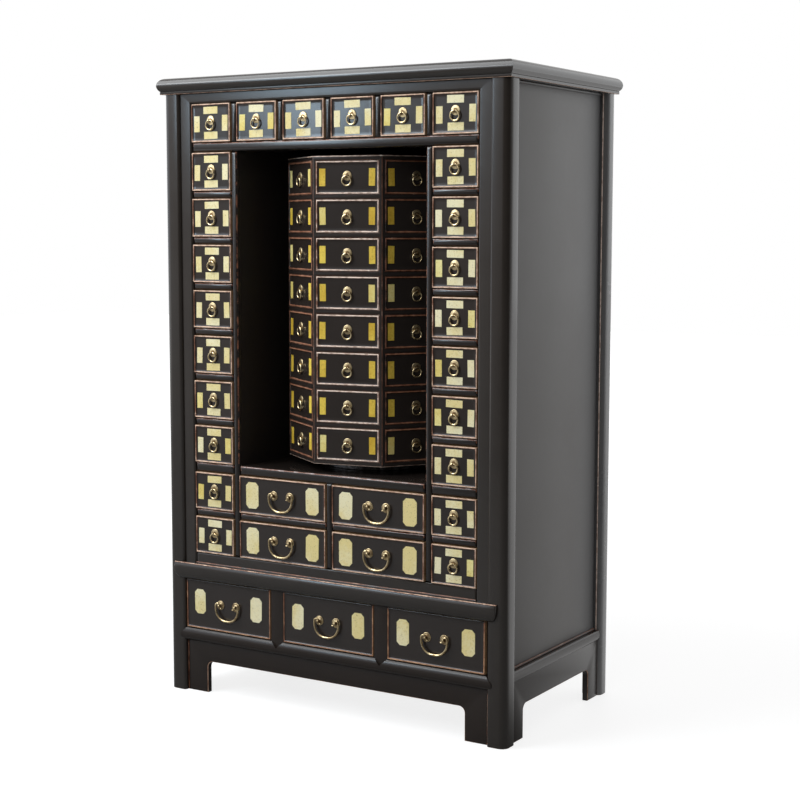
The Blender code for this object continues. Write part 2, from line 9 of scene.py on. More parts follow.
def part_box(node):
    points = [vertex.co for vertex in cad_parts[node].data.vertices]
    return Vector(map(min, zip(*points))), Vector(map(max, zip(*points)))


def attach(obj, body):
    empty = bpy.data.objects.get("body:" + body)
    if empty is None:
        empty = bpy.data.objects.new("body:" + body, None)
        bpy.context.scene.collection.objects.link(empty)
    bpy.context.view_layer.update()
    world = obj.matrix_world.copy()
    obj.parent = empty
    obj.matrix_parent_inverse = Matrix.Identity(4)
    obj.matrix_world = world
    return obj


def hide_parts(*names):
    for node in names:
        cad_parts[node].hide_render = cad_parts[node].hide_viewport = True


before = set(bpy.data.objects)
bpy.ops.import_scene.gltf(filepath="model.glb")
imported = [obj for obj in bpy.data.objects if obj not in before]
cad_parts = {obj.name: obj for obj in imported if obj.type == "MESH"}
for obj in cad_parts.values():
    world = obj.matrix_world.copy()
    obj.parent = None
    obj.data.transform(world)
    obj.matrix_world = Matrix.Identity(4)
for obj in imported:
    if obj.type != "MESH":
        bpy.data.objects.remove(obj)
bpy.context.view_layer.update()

# planes, heights and counts that several pieces share, in metres in the cabinet's own frame
cabinet = {
    "drawerFront": -0.2815, "baseFront": -0.2875, "barFront": -0.2795, "postFront": -0.2898,
    "rackBack": 0.2592, "drawerDepth": 0.450,
    "halfZone": 0.4205, "halfBase": 0.4544, "nicheHalf": 0.2775,
    "bar": 0.019, "opening": 0.098, "pitch": 0.117,
    "sillTop": 0.3755, "wideHead": 0.5905, "nicheFloor": 0.6155, "nicheHead": 1.4155,
    "topRowFloor": 1.4405, "topRowHead": 1.5385, "topRow": 6, "rowsBeside": 7, "rowsBelow": 2,
    "towerY": -0.0335, "towerR": 0.240, "towerTurn": math.radians(10.1),
    "towerFoot": 0.637, "towerHead": 1.3996, "sides": 8, "tiers": 8,
    "hiddenEase": 0.0008,
}
hands = (("left", -1), ("right", 1))
tiny = 1e-5  # slack when vertices are picked by their place


# mesh helpers

def newShape():
    shape = bmesh.new()
    shape.verts.layers.float.new("rub")  # how far the finish is rubbed; below 0 brass keeps a darker patina
    return shape


def rubLayer(shape):
    return shape.verts.layers.float["rub"]


def edgesAt(edges, test):
    # the edges whose two ends both pass the test
    return [edge for edge in edges if all(test(vert.co) for vert in edge.verts)]


def heights(edge):
    return sorted(vert.co.z for vert in edge.verts)


def sharpEdges(shape, angle):
    limit = math.radians(angle)
    return [edge for edge in shape.edges if len(edge.link_faces) == 2 and edge.calc_face_angle(0) > limit]


def addBoard(shape, low, high):
    low, high = Vector(low), Vector(high)
    place = Matrix.Translation((low + high) / 2) @ Matrix.Diagonal((*(high - low), 1))
    made = bmesh.ops.create_cube(shape, size=1, matrix=place)["verts"]
    return list(dict.fromkeys(edge for vert in made for edge in vert.link_edges))


def easeEdges(shape, edges, width, rub=0.0, steps=3):
    # rounds edges and marks the middle of each round as rubbed
    made = bmesh.ops.bevel(shape, geom=edges, offset=width, segments=steps, profile=0.5,
                           affect="EDGES", clamp_overlap=True)
    fresh = set(made["faces"])
    layer = rubLayer(shape)
    for vert in made["verts"]:
        if vert.is_valid and all(face in fresh for face in vert.link_faces):
            vert[layer] = rub


def cutAcross(shape, spot, way, parts=None):
    # splits faces along a plane, so that wear can stop there
    geom = parts or [*shape.verts, *shape.edges, *shape.faces]
    bmesh.ops.bisect_plane(shape, geom=geom, plane_co=spot, plane_no=way)


def addLoft(shape, rings, caps):
    # joins rings of (x, y, z, rub) spots in turn; caps list the spots of each face that closes an end
    layer, rows = rubLayer(shape), []
    for ring in rings:
        rows.append([shape.verts.new(spot[:3]) for spot in ring])
        for vert, spot in zip(rows[-1], ring):
            vert[layer] = spot[3]
    faces = [shape.faces.new([row[i] for i in cap]) for row in (rows[0], rows[-1]) for cap in caps]
    for near, far in zip(rows, rows[1:]):
        for i in range(len(near)):
            j = (i + 1) % len(near)
            faces.append(shape.faces.new((near[i], near[j], far[j], far[i])))
    bmesh.ops.recalc_face_normals(shape, faces=faces)
    return faces


def addPrism(shape, loop, along, low, high):
    # loop is [(u, v, rub)]; along names the axis that it runs on
    order = {"x": (2, 0, 1), "y": (0, 2, 1), "z": (0, 1, 2)}[along]
    rings = [[(*[(u, v, level)[i] for i in order], rub) for u, v, rub in loop] for level in (low, high)]
    return addLoft(shape, rings, [range(len(loop))])


def arcPoints(centre, radii, start, end, steps, rub=0.0):
    # [(u, v, rub)] along an arc, rubbed most in its middle
    points = []
    for i in range(steps + 1):
        t = math.radians(start + (end - start) * i / steps)
        bump = math.sin(math.pi * i / steps)
        points.append((centre[0] + radii[0] * math.cos(t), centre[1] + radii[1] * math.sin(t), rub * bump))
    return points


def mirrored(loop):
    return [(-u, v, rub) for u, v, rub in reversed(loop)]


def putInScene(name, data):
    made = bpy.data.objects.new(name, data)
    bpy.context.scene.collection.objects.link(made)
    return made


def makePiece(name, shape, skins, body, replaced=(), smooth=35):
    bmesh.ops.recalc_face_normals(shape, faces=shape.faces)
    data = bpy.data.meshes.new(name)
    shape.to_mesh(data)
    shape.free()
    for skin in skins:
        data.materials.append(skin)
    data.shade_smooth()
    data.set_sharp_from_angle(angle=math.radians(smooth))
    piece = putInScene(name, data)
    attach(piece, body)
    if replaced:
        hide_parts(*replaced)


def mergeShape(shape, other, place, skinIndex=None):
    # copies other into shape, moved to place
    data = bpy.data.meshes.new("merge")
    other.to_mesh(data)
    data.transform(place)
    before = len(shape.faces)
    shape.from_mesh(data)
    bpy.data.meshes.remove(data)
    if skinIndex is not None:
        shape.faces.ensure_lookup_table()
        for face in shape.faces[before:]:
            face.material_index = skinIndex


# node helpers

def groupOf(name, inputs, outputs):
    # inputs are {label: value}, and the value tells the kind of socket; outputs are {label: kind}
    tree = bpy.data.node_groups.new(name, "ShaderNodeTree")
    for label, value in inputs.items():
        kind = {4: "Color", 3: "Vector"}[len(value)] if isinstance(value, tuple) else "Float"
        made = tree.interface.new_socket(label, in_out="INPUT", socket_type=f"NodeSocket{kind}")
        made.default_value = value
    for label, kind in outputs.items():
        tree.interface.new_socket(label, in_out="OUTPUT", socket_type=f"NodeSocket{kind}")
    return tree, tree.nodes.new("NodeGroupInput").outputs, tree.nodes.new("NodeGroupOutput")


def feed(tree, value, socket):
    # a number, vector or colour is set on the socket, anything else is linked to it
    if isinstance(value, (int, float)):
        socket.default_value = value
    elif isinstance(value, tuple):
        socket.default_value = (*value, 1)[:len(socket.default_value)]
    else:
        tree.links.new(value, socket)


def feedAll(tree, node, values):
    for label, value in values.items():
        feed(tree, value, node.inputs[label])


def addNode(tree, kind, settings=None, **values):
    # settings are the node's own, values go to its sockets, with _ for a space
    node = tree.nodes.new(kind)
    for key, value in (settings or {}).items():
        setattr(node, key, value)
    feedAll(tree, node, {key.replace("_", " "): value for key, value in values.items()})
    return node


def mathNode(tree, operation, *values, clamp=False):
    node = addNode(tree, "ShaderNodeMath", {"operation": operation, "use_clamp": clamp})
    for socket, value in zip(node.inputs, values):
        feed(tree, value, socket)
    return node.outputs[0]


def sumOf(tree, first, firstShare, second, secondShare):
    rest = mathNode(tree, "MULTIPLY", second, secondShare)
    return mathNode(tree, "MULTIPLY_ADD", first, firstShare, rest)


def rampNode(tree, value, low, high):
    return addNode(tree, "ShaderNodeMapRange", {"interpolation_type": "SMOOTHSTEP"},
                   Value=value, From_Min=low, From_Max=high).outputs["Result"]


def mixNode(tree, factor, first, second):
    node = addNode(tree, "ShaderNodeMix", {"data_type": "RGBA"})
    for number, value in ((0, factor), (6, first), (7, second)):  # its colour sockets are 6 and 7
        feed(tree, value, node.inputs[number])
    return node.outputs[2]


def noiseNode(tree, vector, scale, detail=3.0, rough=0.5):
    return addNode(tree, "ShaderNodeTexNoise", Vector=vector, Scale=scale, Detail=detail,
                   Roughness=rough).outputs["Fac"]


def placeOf(tree, kind="Object"):
    return addNode(tree, "ShaderNodeTexCoord").outputs[kind]


def axesOf(tree, vector):
    return addNode(tree, "ShaderNodeSeparateXYZ", Vector=vector).outputs


def rubOf(tree):
    return addNode(tree, "ShaderNodeAttribute", {"attribute_name": "rub"}).outputs["Fac"]


def raysOf(tree):
    # masks for what the camera sees, and for what shows in gloss and glass
    path = addNode(tree, "ShaderNodeLightPath").outputs
    mirror = mathNode(tree, "ADD", path["Is Glossy Ray"], path["Is Transmission Ray"], clamp=True)
    return path["Is Camera Ray"], mirror


def newMaterial(name):
    made = bpy.data.materials.new(name)
    made.use_nodes = True
    tree = made.node_tree
    return made, tree, tree.nodes["Principled BSDF"]


def placeGroup(tree, group, **values):
    return addNode(tree, "ShaderNodeGroup", {"node_tree": group}, **values).outputs


def bumpNode(tree, height, strength, distance):
    node = addNode(tree, "ShaderNodeBump", Height=height, Strength=strength, Distance=distance)
    return node.outputs["Normal"]


# finishes

wearLook = {  # noise scales and shares, then the levels of wear between which each coat comes through
    "fine": 420, "fineShare": 0.35, "broadShare": 0.9, "middle": 0.62, "start": 0.02,
    "ground": (0.30, 0.48), "gesso": (0.56, 0.82),
    "blushScale": 90, "blush": (0.42, 0.66), "blushShare": 0.55,
}


def buildRubThrough():
    # lacquer over a red-brown ground over pale gesso, worn where rub is high
    look = wearLook
    tree, given, out = groupOf("rubThrough", {
        "Rub": 0.0, "Wear": 1.0, "Patch": 45.0, "Lacquer": (0.01, 0.01, 0.01, 1),
        "Ground": (0.12, 0.04, 0.02, 1), "Gesso": (0.6, 0.4, 0.3, 1),
    }, {"Color": "Color", "Worn": "Float"})
    place = placeOf(tree)
    broad = noiseNode(tree, place, given["Patch"], detail=2, rough=0.6)
    fine = noiseNode(tree, place, look["fine"], detail=2)
    uneven = sumOf(tree, fine, look["fineShare"], broad, look["broadShare"])
    level = mathNode(tree, "ADD", mathNode(tree, "MULTIPLY", given["Rub"], given["Wear"]),
                     mathNode(tree, "SUBTRACT", uneven, look["middle"]))
    gate = mathNode(tree, "GREATER_THAN", given["Rub"], look["start"])
    ground, gesso = (mathNode(tree, "MULTIPLY", rampNode(tree, level, *look[coat]), gate)
                     for coat in ("ground", "gesso"))
    blush = rampNode(tree, noiseNode(tree, place, look["blushScale"], detail=2), *look["blush"])
    blush = mathNode(tree, "MULTIPLY", blush, look["blushShare"])
    first = mixNode(tree, ground, given["Lacquer"], given["Ground"])
    chalk = mixNode(tree, blush, given["Gesso"], given["Ground"])
    feedAll(tree, out, {"Color": mixNode(tree, gesso, first, chalk), "Worn": ground})
    return tree


skinLook = {"cloud": 7, "cloudShare": 0.7, "smear": 60, "smearShare": 0.3,
            "brush": (260.0, 260.0, 30.0), "lines": 0.5}


def buildLacquerSkin():
    # uneven brushed lacquer: a slow change of tone, smears and brush lines
    look = skinLook
    tree, given, out = groupOf("lacquerSkin", {"Smooth": 0.25, "Dull": 0.40},
                               {"Roughness": "Float", "Height": "Float", "Tone": "Float"})
    place = placeOf(tree)
    cloud = noiseNode(tree, place, look["cloud"], detail=4, rough=0.6)
    smear = noiseNode(tree, place, look["smear"])
    stretch = addNode(tree, "ShaderNodeMapping", Vector=place, Scale=look["brush"])
    brush = noiseNode(tree, stretch.outputs["Vector"], scale=1.0, detail=2)
    span = mathNode(tree, "SUBTRACT", given["Dull"], given["Smooth"])
    share = sumOf(tree, cloud, look["cloudShare"], smear, look["smearShare"])
    feedAll(tree, out, {"Roughness": mathNode(tree, "MULTIPLY_ADD", share, span, given["Smooth"]),
                        "Height": sumOf(tree, brush, look["lines"], smear, 1 - look["lines"]),
                        "Tone": cloud})
    return tree


grainLook = {"wideShare": 0.75, "fine": 6.0, "fineShare": 0.35, "tone": (0.3, 0.75)}


def buildWoodGrain():
    # long streaks, broad and fine, between two tones
    look = grainLook
    tree, given, out = groupOf("woodGrain", {
        "Pale": (0.5, 0.3, 0.15, 1), "Dark": (0.25, 0.13, 0.06, 1), "Stretch": (60.0, 4.0, 60.0),
    }, {"Color": "Color", "Height": "Float"})
    scaled = addNode(tree, "ShaderNodeVectorMath", {"operation": "MULTIPLY"})
    tree.links.new(placeOf(tree), scaled.inputs[0])
    tree.links.new(given["Stretch"], scaled.inputs[1])
    wide = noiseNode(tree, scaled.outputs[0], scale=1.0, detail=5, rough=0.65)
    fine = noiseNode(tree, scaled.outputs[0], look["fine"], detail=2)
    grain = sumOf(tree, fine, look["fineShare"], wide, look["wideShare"])
    tone = mixNode(tree, rampNode(tree, grain, *look["tone"]), given["Dark"], given["Pale"])
    feedAll(tree, out, {"Color": tone, "Height": grain})
    return tree


rubThrough, lacquerSkin, woodGrain = buildRubThrough(), buildLacquerSkin(), buildWoodGrain()

lacquerLook = {  # two tones of each lacquer, paler tones painted at the rear as sheen, the coats below it, then the finish
    "black": ((0.0130, 0.0102, 0.0090), (0.0190, 0.0144, 0.0122)),
    "warm": ((0.0190, 0.0144, 0.0122), (0.0260, 0.0186, 0.0150)),
    "satin": ((0.0215, 0.0172, 0.0145), (0.0330, 0.0265, 0.0220)),
    "panelSheenTone": (0.086, 0.085, 0.086), "postSheenTone": (0.150, 0.149, 0.150),
    "ground": (0.200, 0.070, 0.032), "gesso": (0.78, 0.55, 0.40), "cream": (0.90, 0.72, 0.60),
    # the pale grey coat on the bars is a painted highlight as well as wear
    "tan": (0.58, 0.33, 0.18), "russet": (0.46, 0.22, 0.13), "glintGrey": (0.50, 0.49, 0.50),
    "wornRough": 0.55, "specular": 0.50, "bump": 0.035, "bumpDepth": 0.0004,
}


def makeLacquer(name, tones, wear, patch, smooth, dull, chalk="gesso", rearSheen=None, shine=1.0):
    look = lacquerLook
    made, tree, shader = newMaterial(name)
    skin = placeGroup(tree, lacquerSkin, Smooth=smooth, Dull=dull)
    tone = mixNode(tree, skin["Tone"], *look[tones])
    if rearSheen:  # painted sheen, paler towards the rear: where that starts, where it ends and the tone there
        start, end, rear = rearSheen
        tone = mixNode(tree, rampNode(tree, axesOf(tree, placeOf(tree))["Y"], start, end), tone, look[rear])
    worn = placeGroup(tree, rubThrough, Rub=rubOf(tree), Wear=wear, Patch=patch, Lacquer=tone,
                      Ground=look["ground"], Gesso=look[chalk])
    gap = mathNode(tree, "SUBTRACT", look["wornRough"], skin["Roughness"])
    feedAll(tree, shader, {"Base Color": worn["Color"], "Specular IOR Level": look["specular"] * shine,
                           "Roughness": mathNode(tree, "MULTIPLY_ADD", worn["Worn"], gap, skin["Roughness"]),
                           "Normal": bumpNode(tree, skin["Height"], look["bump"], look["bumpDepth"])})
    return made


def makeWood(name, pale, dark, stretch, rough):
    made, tree, shader = newMaterial(name)
    grain = placeGroup(tree, woodGrain, Pale=pale, Dark=dark, Stretch=stretch)
    feedAll(tree, shader, {"Base Color": grain["Color"], "Roughness": rough,
                           "Normal": bumpNode(tree, grain["Height"], strength=0.25, distance=0.0004)})
    return made


metalLook = {"fineScale": 6, "fineShare": 0.3, "cloudShare": 0.8,
             "handled": -0.22, "patina": (0.30, 0.70), "dull": 0.22}


def makeMetal(name, bright, dark, rough, scale):
    # dark patina in clouds over a brighter metal, handled clean where rub is high
    look = metalLook
    made, tree, shader = newMaterial(name)
    place = placeOf(tree)
    fine = noiseNode(tree, place, scale * look["fineScale"], detail=2)
    cloud = noiseNode(tree, place, scale, detail=4, rough=0.6)
    uneven = sumOf(tree, fine, look["fineShare"], cloud, look["cloudShare"])
    level = mathNode(tree, "MULTIPLY_ADD", rubOf(tree), look["handled"], uneven)
    patina = rampNode(tree, level, *look["patina"])
    feedAll(tree, shader, {"Base Color": mixNode(tree, patina, bright, dark), "Metallic": 1.0,
                           "Roughness": mathNode(tree, "MULTIPLY_ADD", patina, look["dull"], rough),
                           "Normal": bumpNode(tree, fine, strength=0.15, distance=0.0003)})
    return made


paperLook = {"drift": 9, "driftShare": 0.8, "mottle": 130, "mottleShare": 0.35, "tone": (0.38, 0.72),
             "specks": 260, "spots": (0.56, 0.74), "spotShare": 0.55, "rough": 0.62, "specular": 0.3}


def makePaper(name, pale, deep, stain):
    # bare aged paper: a slow drift of tone from label to label, fibres and small stains
    look = paperLook
    made, tree, shader = newMaterial(name)
    place = placeOf(tree)
    mottle = noiseNode(tree, place, look["mottle"], detail=4, rough=0.6)
    drift = noiseNode(tree, place, look["drift"], detail=1)
    aged = sumOf(tree, mottle, look["mottleShare"], drift, look["driftShare"])
    tone = mixNode(tree, rampNode(tree, aged, *look["tone"]), pale, deep)
    specks = rampNode(tree, noiseNode(tree, place, look["specks"], rough=0.7), *look["spots"])
    spots = mathNode(tree, "MULTIPLY", specks, look["spotShare"])
    feedAll(tree, shader, {"Base Color": mixNode(tree, spots, tone, stain), "Roughness": look["rough"],
                           "Specular IOR Level": look["specular"],
                           "Normal": bumpNode(tree, mottle, strength=0.2, distance=0.0002)})
    return made


carcassLacquer = makeLacquer("carcassLacquer", "satin", wear=0.80, patch=26, smooth=0.12, dull=0.24)
# the side panels are painted paler towards the rear: a painted sheen
panelLacquer = makeLacquer("panelLacquer", "satin", wear=0.85, patch=26, smooth=0.38, dull=0.50,
                           chalk="cream", rearSheen=(0.08, 0.25, "panelSheenTone"))
# the rear posts are painted paler towards the rear: a painted sheen
rearLacquer = makeLacquer("rearLacquer", "satin", wear=0.80, patch=26, smooth=0.20, dull=0.32,
                          rearSheen=(0.10, 0.26, "postSheenTone"))
# the bars' pale grey worn lines are partly a painted highlight
barLacquer = makeLacquer("barLacquer", "black", wear=0.80, patch=44, smooth=0.10, dull=0.20, chalk="glintGrey")
nicheLacquer = makeLacquer("nicheLacquer", "black", wear=0.62, patch=30, smooth=0.52, dull=0.66)
railLacquer = makeLacquer("railLacquer", "warm", wear=0.74, patch=30, smooth=0.18, dull=0.28, shine=0.56)
smallFront = makeLacquer("smallFront", "warm", wear=1.04, patch=34, smooth=0.10, dull=0.20)
wideFront = makeLacquer("wideFront", "warm", wear=0.94, patch=30, smooth=0.16, dull=0.28)
baseFront = makeLacquer("baseFront", "warm", wear=0.78, patch=26, smooth=0.18, dull=0.30, chalk="tan")
towerLacquer = makeLacquer("towerLacquer", "warm", wear=1.14, patch=38, smooth=0.18, dull=0.30, chalk="cream")
towerFixed = makeLacquer("towerFixed", "warm", wear=0.74, patch=38, smooth=0.18, dull=0.30, chalk="russet")
drawerWood = makeWood("drawerWood", (0.42, 0.25, 0.13), (0.24, 0.125, 0.060),
                      stretch=(70.0, 5.0, 70.0), rough=0.6)
backWood = makeWood("backWood", (0.045, 0.028, 0.020), (0.018, 0.012, 0.009),
                    stretch=(55.0, 55.0, 4.0), rough=0.55)
agedBrass = makeMetal("agedBrass", (0.78, 0.62, 0.36), (0.26, 0.170, 0.080), rough=0.22, scale=90)
rosetteBrass = makeMetal("rosetteBrass", (0.66, 0.52, 0.30), (0.17, 0.105, 0.05), rough=0.38, scale=90)
darkSteel = makeMetal("darkSteel", (0.20, 0.20, 0.21), (0.06, 0.055, 0.05), rough=0.35, scale=60)
creamPaper = makePaper("creamPaper", (0.86, 0.79, 0.52), (0.78, 0.65, 0.29), (0.16, 0.11, 0.05))
strawPaper = makePaper("strawPaper", (0.84, 0.75, 0.33), (0.74, 0.58, 0.16), (0.16, 0.10, 0.04))
ochrePaper = makePaper("ochrePaper", (0.82, 0.61, 0.09), (0.60, 0.38, 0.03), (0.15, 0.09, 0.03))
print("materials ready")


# carcass

topLook = {"noseSteps": 18, "rail": 0.078, "joint": 0.0002, "groove": 0.0006, "bed": 0.004,
           "lip": 0.004, "lipInset": 0.007, "lipLap": 0.003, "lipEase": 0.0014, "lipRub": 1.0}


def addMitredRail(shape, profile, halfX, halfY, turn):
    # one side of a mitred frame; profile is [(inwards, z)] and turn counts quarter turns from the front
    long, reach = (halfX, halfY) if turn % 2 == 0 else (halfY, halfX)
    spin = Matrix.Rotation(turn * math.pi / 2, 4, "Z")
    rings = []
    for end in (-1, 1):
        spots = [(end * (long - inwards - topLook["joint"]), inwards - reach, z) for inwards, z in profile]
        rings.append([(*(spin @ Vector(spot)), 0) for spot in spots])
    addLoft(shape, rings, [range(len(profile))])


def dressTop():
    # a mitred frame with a half-round nose, a flush panel inside it and a thin lip below
    look = topLook
    low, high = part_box("top_panel")
    foot, rail, groove = low.z + look["lip"], look["rail"], look["groove"]
    radius = (high.z - foot) / 2
    nose = arcPoints((radius, foot + radius), (radius, radius), 270, 90, look["noseSteps"])
    profile = [(u, v) for u, v, _ in nose]
    profile += [(rail - groove, high.z), (rail, high.z - groove), (rail, foot)]
    shape = newShape()
    for turn in range(4):
        addMitredRail(shape, profile, high.x, high.y, turn)
    inner = Vector((rail + look["joint"], rail + look["joint"], 0))
    edges = addBoard(shape, Vector((low.x, low.y, foot + look["bed"])) + inner, high - inner)
    easeEdges(shape, edgesAt(edges, lambda co: co.z > high.z - tiny), groove, steps=1)
    inset = Vector((look["lipInset"], look["lipInset"], 0))
    edges = addBoard(shape, low + inset, Vector((high.x, high.y, foot + look["lipLap"])) - inset)
    easeEdges(shape, edgesAt(edges, lambda co: co.z < low.z + tiny), look["lipEase"], look["lipRub"])
    makePiece("top_board", shape, [carcassLacquer], "carcass", ["top_panel"], smooth=40)


postLook = {"round": 0.020, "ease": 0.008, "rearEase": 0.014, "steps": 7, "footEase": 0.0015, "footRub": 0.9,
            "legHead": 0.133, "legBlend": 0.008, "legShare": 0.3, "legRub": 0.85}


def dressPosts():
    look = postLook
    turns = [math.radians(i * 90 / look["steps"]) for i in range(look["steps"] + 1)]
    for row, way in (("front", -1), ("back", 1)):
        for hand, side in hands:
            node = f"post_{row}_{hand}"
            low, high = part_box(node)
            outX, inX = (high.x, low.x) if side > 0 else (low.x, high.x)
            showY, hideY = (high.y, low.y) if way > 0 else (low.y, high.y)
            corners = ((inX, showY, look["ease"], 1, 1), (outX, showY, look["round"], -1, 1),
                       (outX, hideY, look["rearEase" if way > 0 else "ease"], -1, -1))
            plan = []
            for x, y, radius, toX, toY in corners:
                goX, goY = toX * side * radius, toY * way * radius
                arc = [(x + goX - goX * math.cos(t), y - goY + goY * math.sin(t), 0.0) for t in turns]
                plan += arc if toX * toY > 0 else reversed(arc)
            plan.append((inX, hideY, 0.0))
            shape = newShape()
            addPrism(shape, plan, "z", low.z, high.z)
            if node == "post_front_right":  # rubbed through along the apron's leg
                for level in (look["legHead"], look["legHead"] - look["legBlend"]):
                    cutAcross(shape, (0, 0, level), (0, 0, 1))
                for vert in shape.verts:
                    below = vert.co.z < look["legHead"] - look["legBlend"] / 2
                    if below and inX + tiny < vert.co.x < inX + look["ease"] * look["legShare"]:
                        vert[rubLayer(shape)] = look["legRub"]
            foot = edgesAt(shape.edges, lambda co: co.z < low.z + tiny)
            easeEdges(shape, foot, look["footEase"], look["footRub"])
            skin = rearLacquer if way > 0 else carcassLacquer
            makePiece(f"corner_{row}_{hand}", shape, [skin], "carcass", [node], smooth=40)


panelLook = {  # proud and rub are for the front, rear, foot and head bead
    "bead": 0.006, "beadEase": 0.0022, "bed": 0.002,
    "proud": (0.010, 0.008, 0.0035, 0.0035), "rub": (0.3, 1.5, 0.6, 0.2),
    "planks": 5, "plankGap": 0.0004, "plankEase": 0.0016,
}


def dressPanels():
    look, bead = panelLook, panelLook["bead"]
    for hand, side in hands:
        node = f"side_panel_{hand}"
        low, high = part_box(node)
        shape = newShape()
        easeEdges(shape, addBoard(shape, low, high), cabinet["hiddenEase"])
        face = high.x if side > 0 else low.x
        strips = (((low.y, low.z), (low.y + bead, high.z)), ((high.y - bead, low.z), (high.y, high.z)),
                  ((low.y + bead, low.z), (high.y - bead, low.z + bead)),
                  ((low.y + bead, high.z - bead), (high.y - bead, high.z)))
        for ((y0, z0), (y1, z1)), proud, rub in zip(strips, look["proud"], look["rub"]):
            crest = face + side * proud
            xs = sorted((face - side * look["bed"], crest))
            edges = addBoard(shape, (xs[0], y0, z0), (xs[1], y1, z1))
            easeEdges(shape, edgesAt(edges, lambda co: abs(co.x - crest) < tiny), look["beadEase"], rub)
        makePiece(f"side_board_{hand}", shape, [panelLacquer], "carcass", [node])
    low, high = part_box("back_panel")
    shape = newShape()
    width, gap = (high.x - low.x) / look["planks"], look["plankGap"]
    for i in range(look["planks"]):
        x = low.x + i * width
        edges = addBoard(shape, (x + gap, low.y, low.z), (low.x + (i + 1) * width - gap, high.y, high.z))
        easeEdges(shape, edges, look["plankEase"])
    makePiece("back_planks", shape, [backWood], "carcass", ["back_panel"])


frameLook = {"ease": 0.006, "steps": 6}


def dressFaceFrame():
    low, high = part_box("face_frame")
    inner, head = cabinet["halfZone"], cabinet["topRowHead"]
    shape = newShape()
    # the stiles are mitred to the head rail
    stile = [(-high.x, low.z, 0), (-inner, low.z, 0), (-inner, head, 0), (-high.x, high.z, 0)]
    rail = [(-inner, head, 0), (inner, head, 0), (high.x, high.z, 0), (-high.x, high.z, 0)]
    for loop in (stile, mirrored(stile), rail):
        addPrism(shape, loop, "y", low.y, high.y)
    front = edgesAt(shape.edges, lambda co: co.y < low.y + tiny)
    inside = edgesAt(front, lambda co: abs(co.x) < inner + tiny and co.z < head + tiny)
    easeEdges(shape, inside, frameLook["ease"], steps=frameLook["steps"])
    makePiece("face_boards", shape, [carcassLacquer], "carcass", ["face_frame"])


rackLook = {  # the lines are the rubbed part of a round, on shelves also a painted highlight: slopes on shelves, degrees on uprights
    "ease": 0.0085, "steps": 8, "shelfBack": 0.0004, "shelfGlintRub": 0.80, "shelfGlintLine": (0.48, 1.2),
    "rub": 0.50, "rubStart": 0.004, "rubLine": (-62, -28),
    "outerWall": 0.4315, "wallFront": -0.2610, "wallFoot": 0.3478,
    "slack": 0.0003, "gap": 0.0004, "tenon": 0.002,
}


def addRackBoards(shape, uprights, shelves, rubbed=None):
    # bars with rounded front edges; shelves sit a hair behind the uprights
    look, front, ease = rackLook, cabinet["barFront"], rackLook["ease"]
    for boards, start in ((uprights, front), (shelves, front + look["shelfBack"])):
        for (x0, z0), (x1, z1) in boards:
            edges = addBoard(shape, (x0, start, z0), (x1, cabinet["rackBack"], z1))
            easeEdges(shape, edgesAt(edges, lambda co: co.y < start + tiny), ease, steps=look["steps"])
            if boards is uprights:
                continue
            for vert in shape.verts:  # a painted pale highlight line, partly wear, along the shelf's upper round
                up, into = vert.co.z - z1 + ease, start + ease - vert.co.y
                onRound = x0 - tiny < vert.co.x < x1 + tiny and up < ease and into > 0
                if onRound and look["shelfGlintLine"][0] < up / into < look["shelfGlintLine"][1]:
                    vert[rubLayer(shape)] = look["shelfGlintRub"]
    if rubbed is None:
        return
    # beside the niche the corner is brushed by hands, and the wall behind it is dull
    floor = cabinet["nicheFloor"]
    for z in (floor, floor + look["rubStart"]):
        cutAcross(shape, (0, 0, z), (0, 0, 1))
    for face in shape.faces:
        if all(abs(vert.co.x - rubbed) < tiny for vert in face.verts):
            face.material_index = 1
    for vert in shape.verts:
        inwards, into = abs(vert.co.x - rubbed), vert.co.y - front
        turn = math.degrees(math.atan2(into - ease, ease - inwards))
        onRound = inwards < ease and into < ease and vert.co.z > floor + look["rubStart"] - tiny
        if onRound and look["rubLine"][0] < turn < look["rubLine"][1]:
            vert[rubLayer(shape)] = look["rub"]


def addOuterWall(shape, side, foot, head):
    # the hidden board that closes a rack behind the stile
    xs = sorted((side * cabinet["halfZone"], side * rackLook["outerWall"]))
    edges = addBoard(shape, (xs[0], rackLook["wallFront"], foot), (xs[1], cabinet["rackBack"], head))
    easeEdges(shape, edges, cabinet["hiddenEase"])


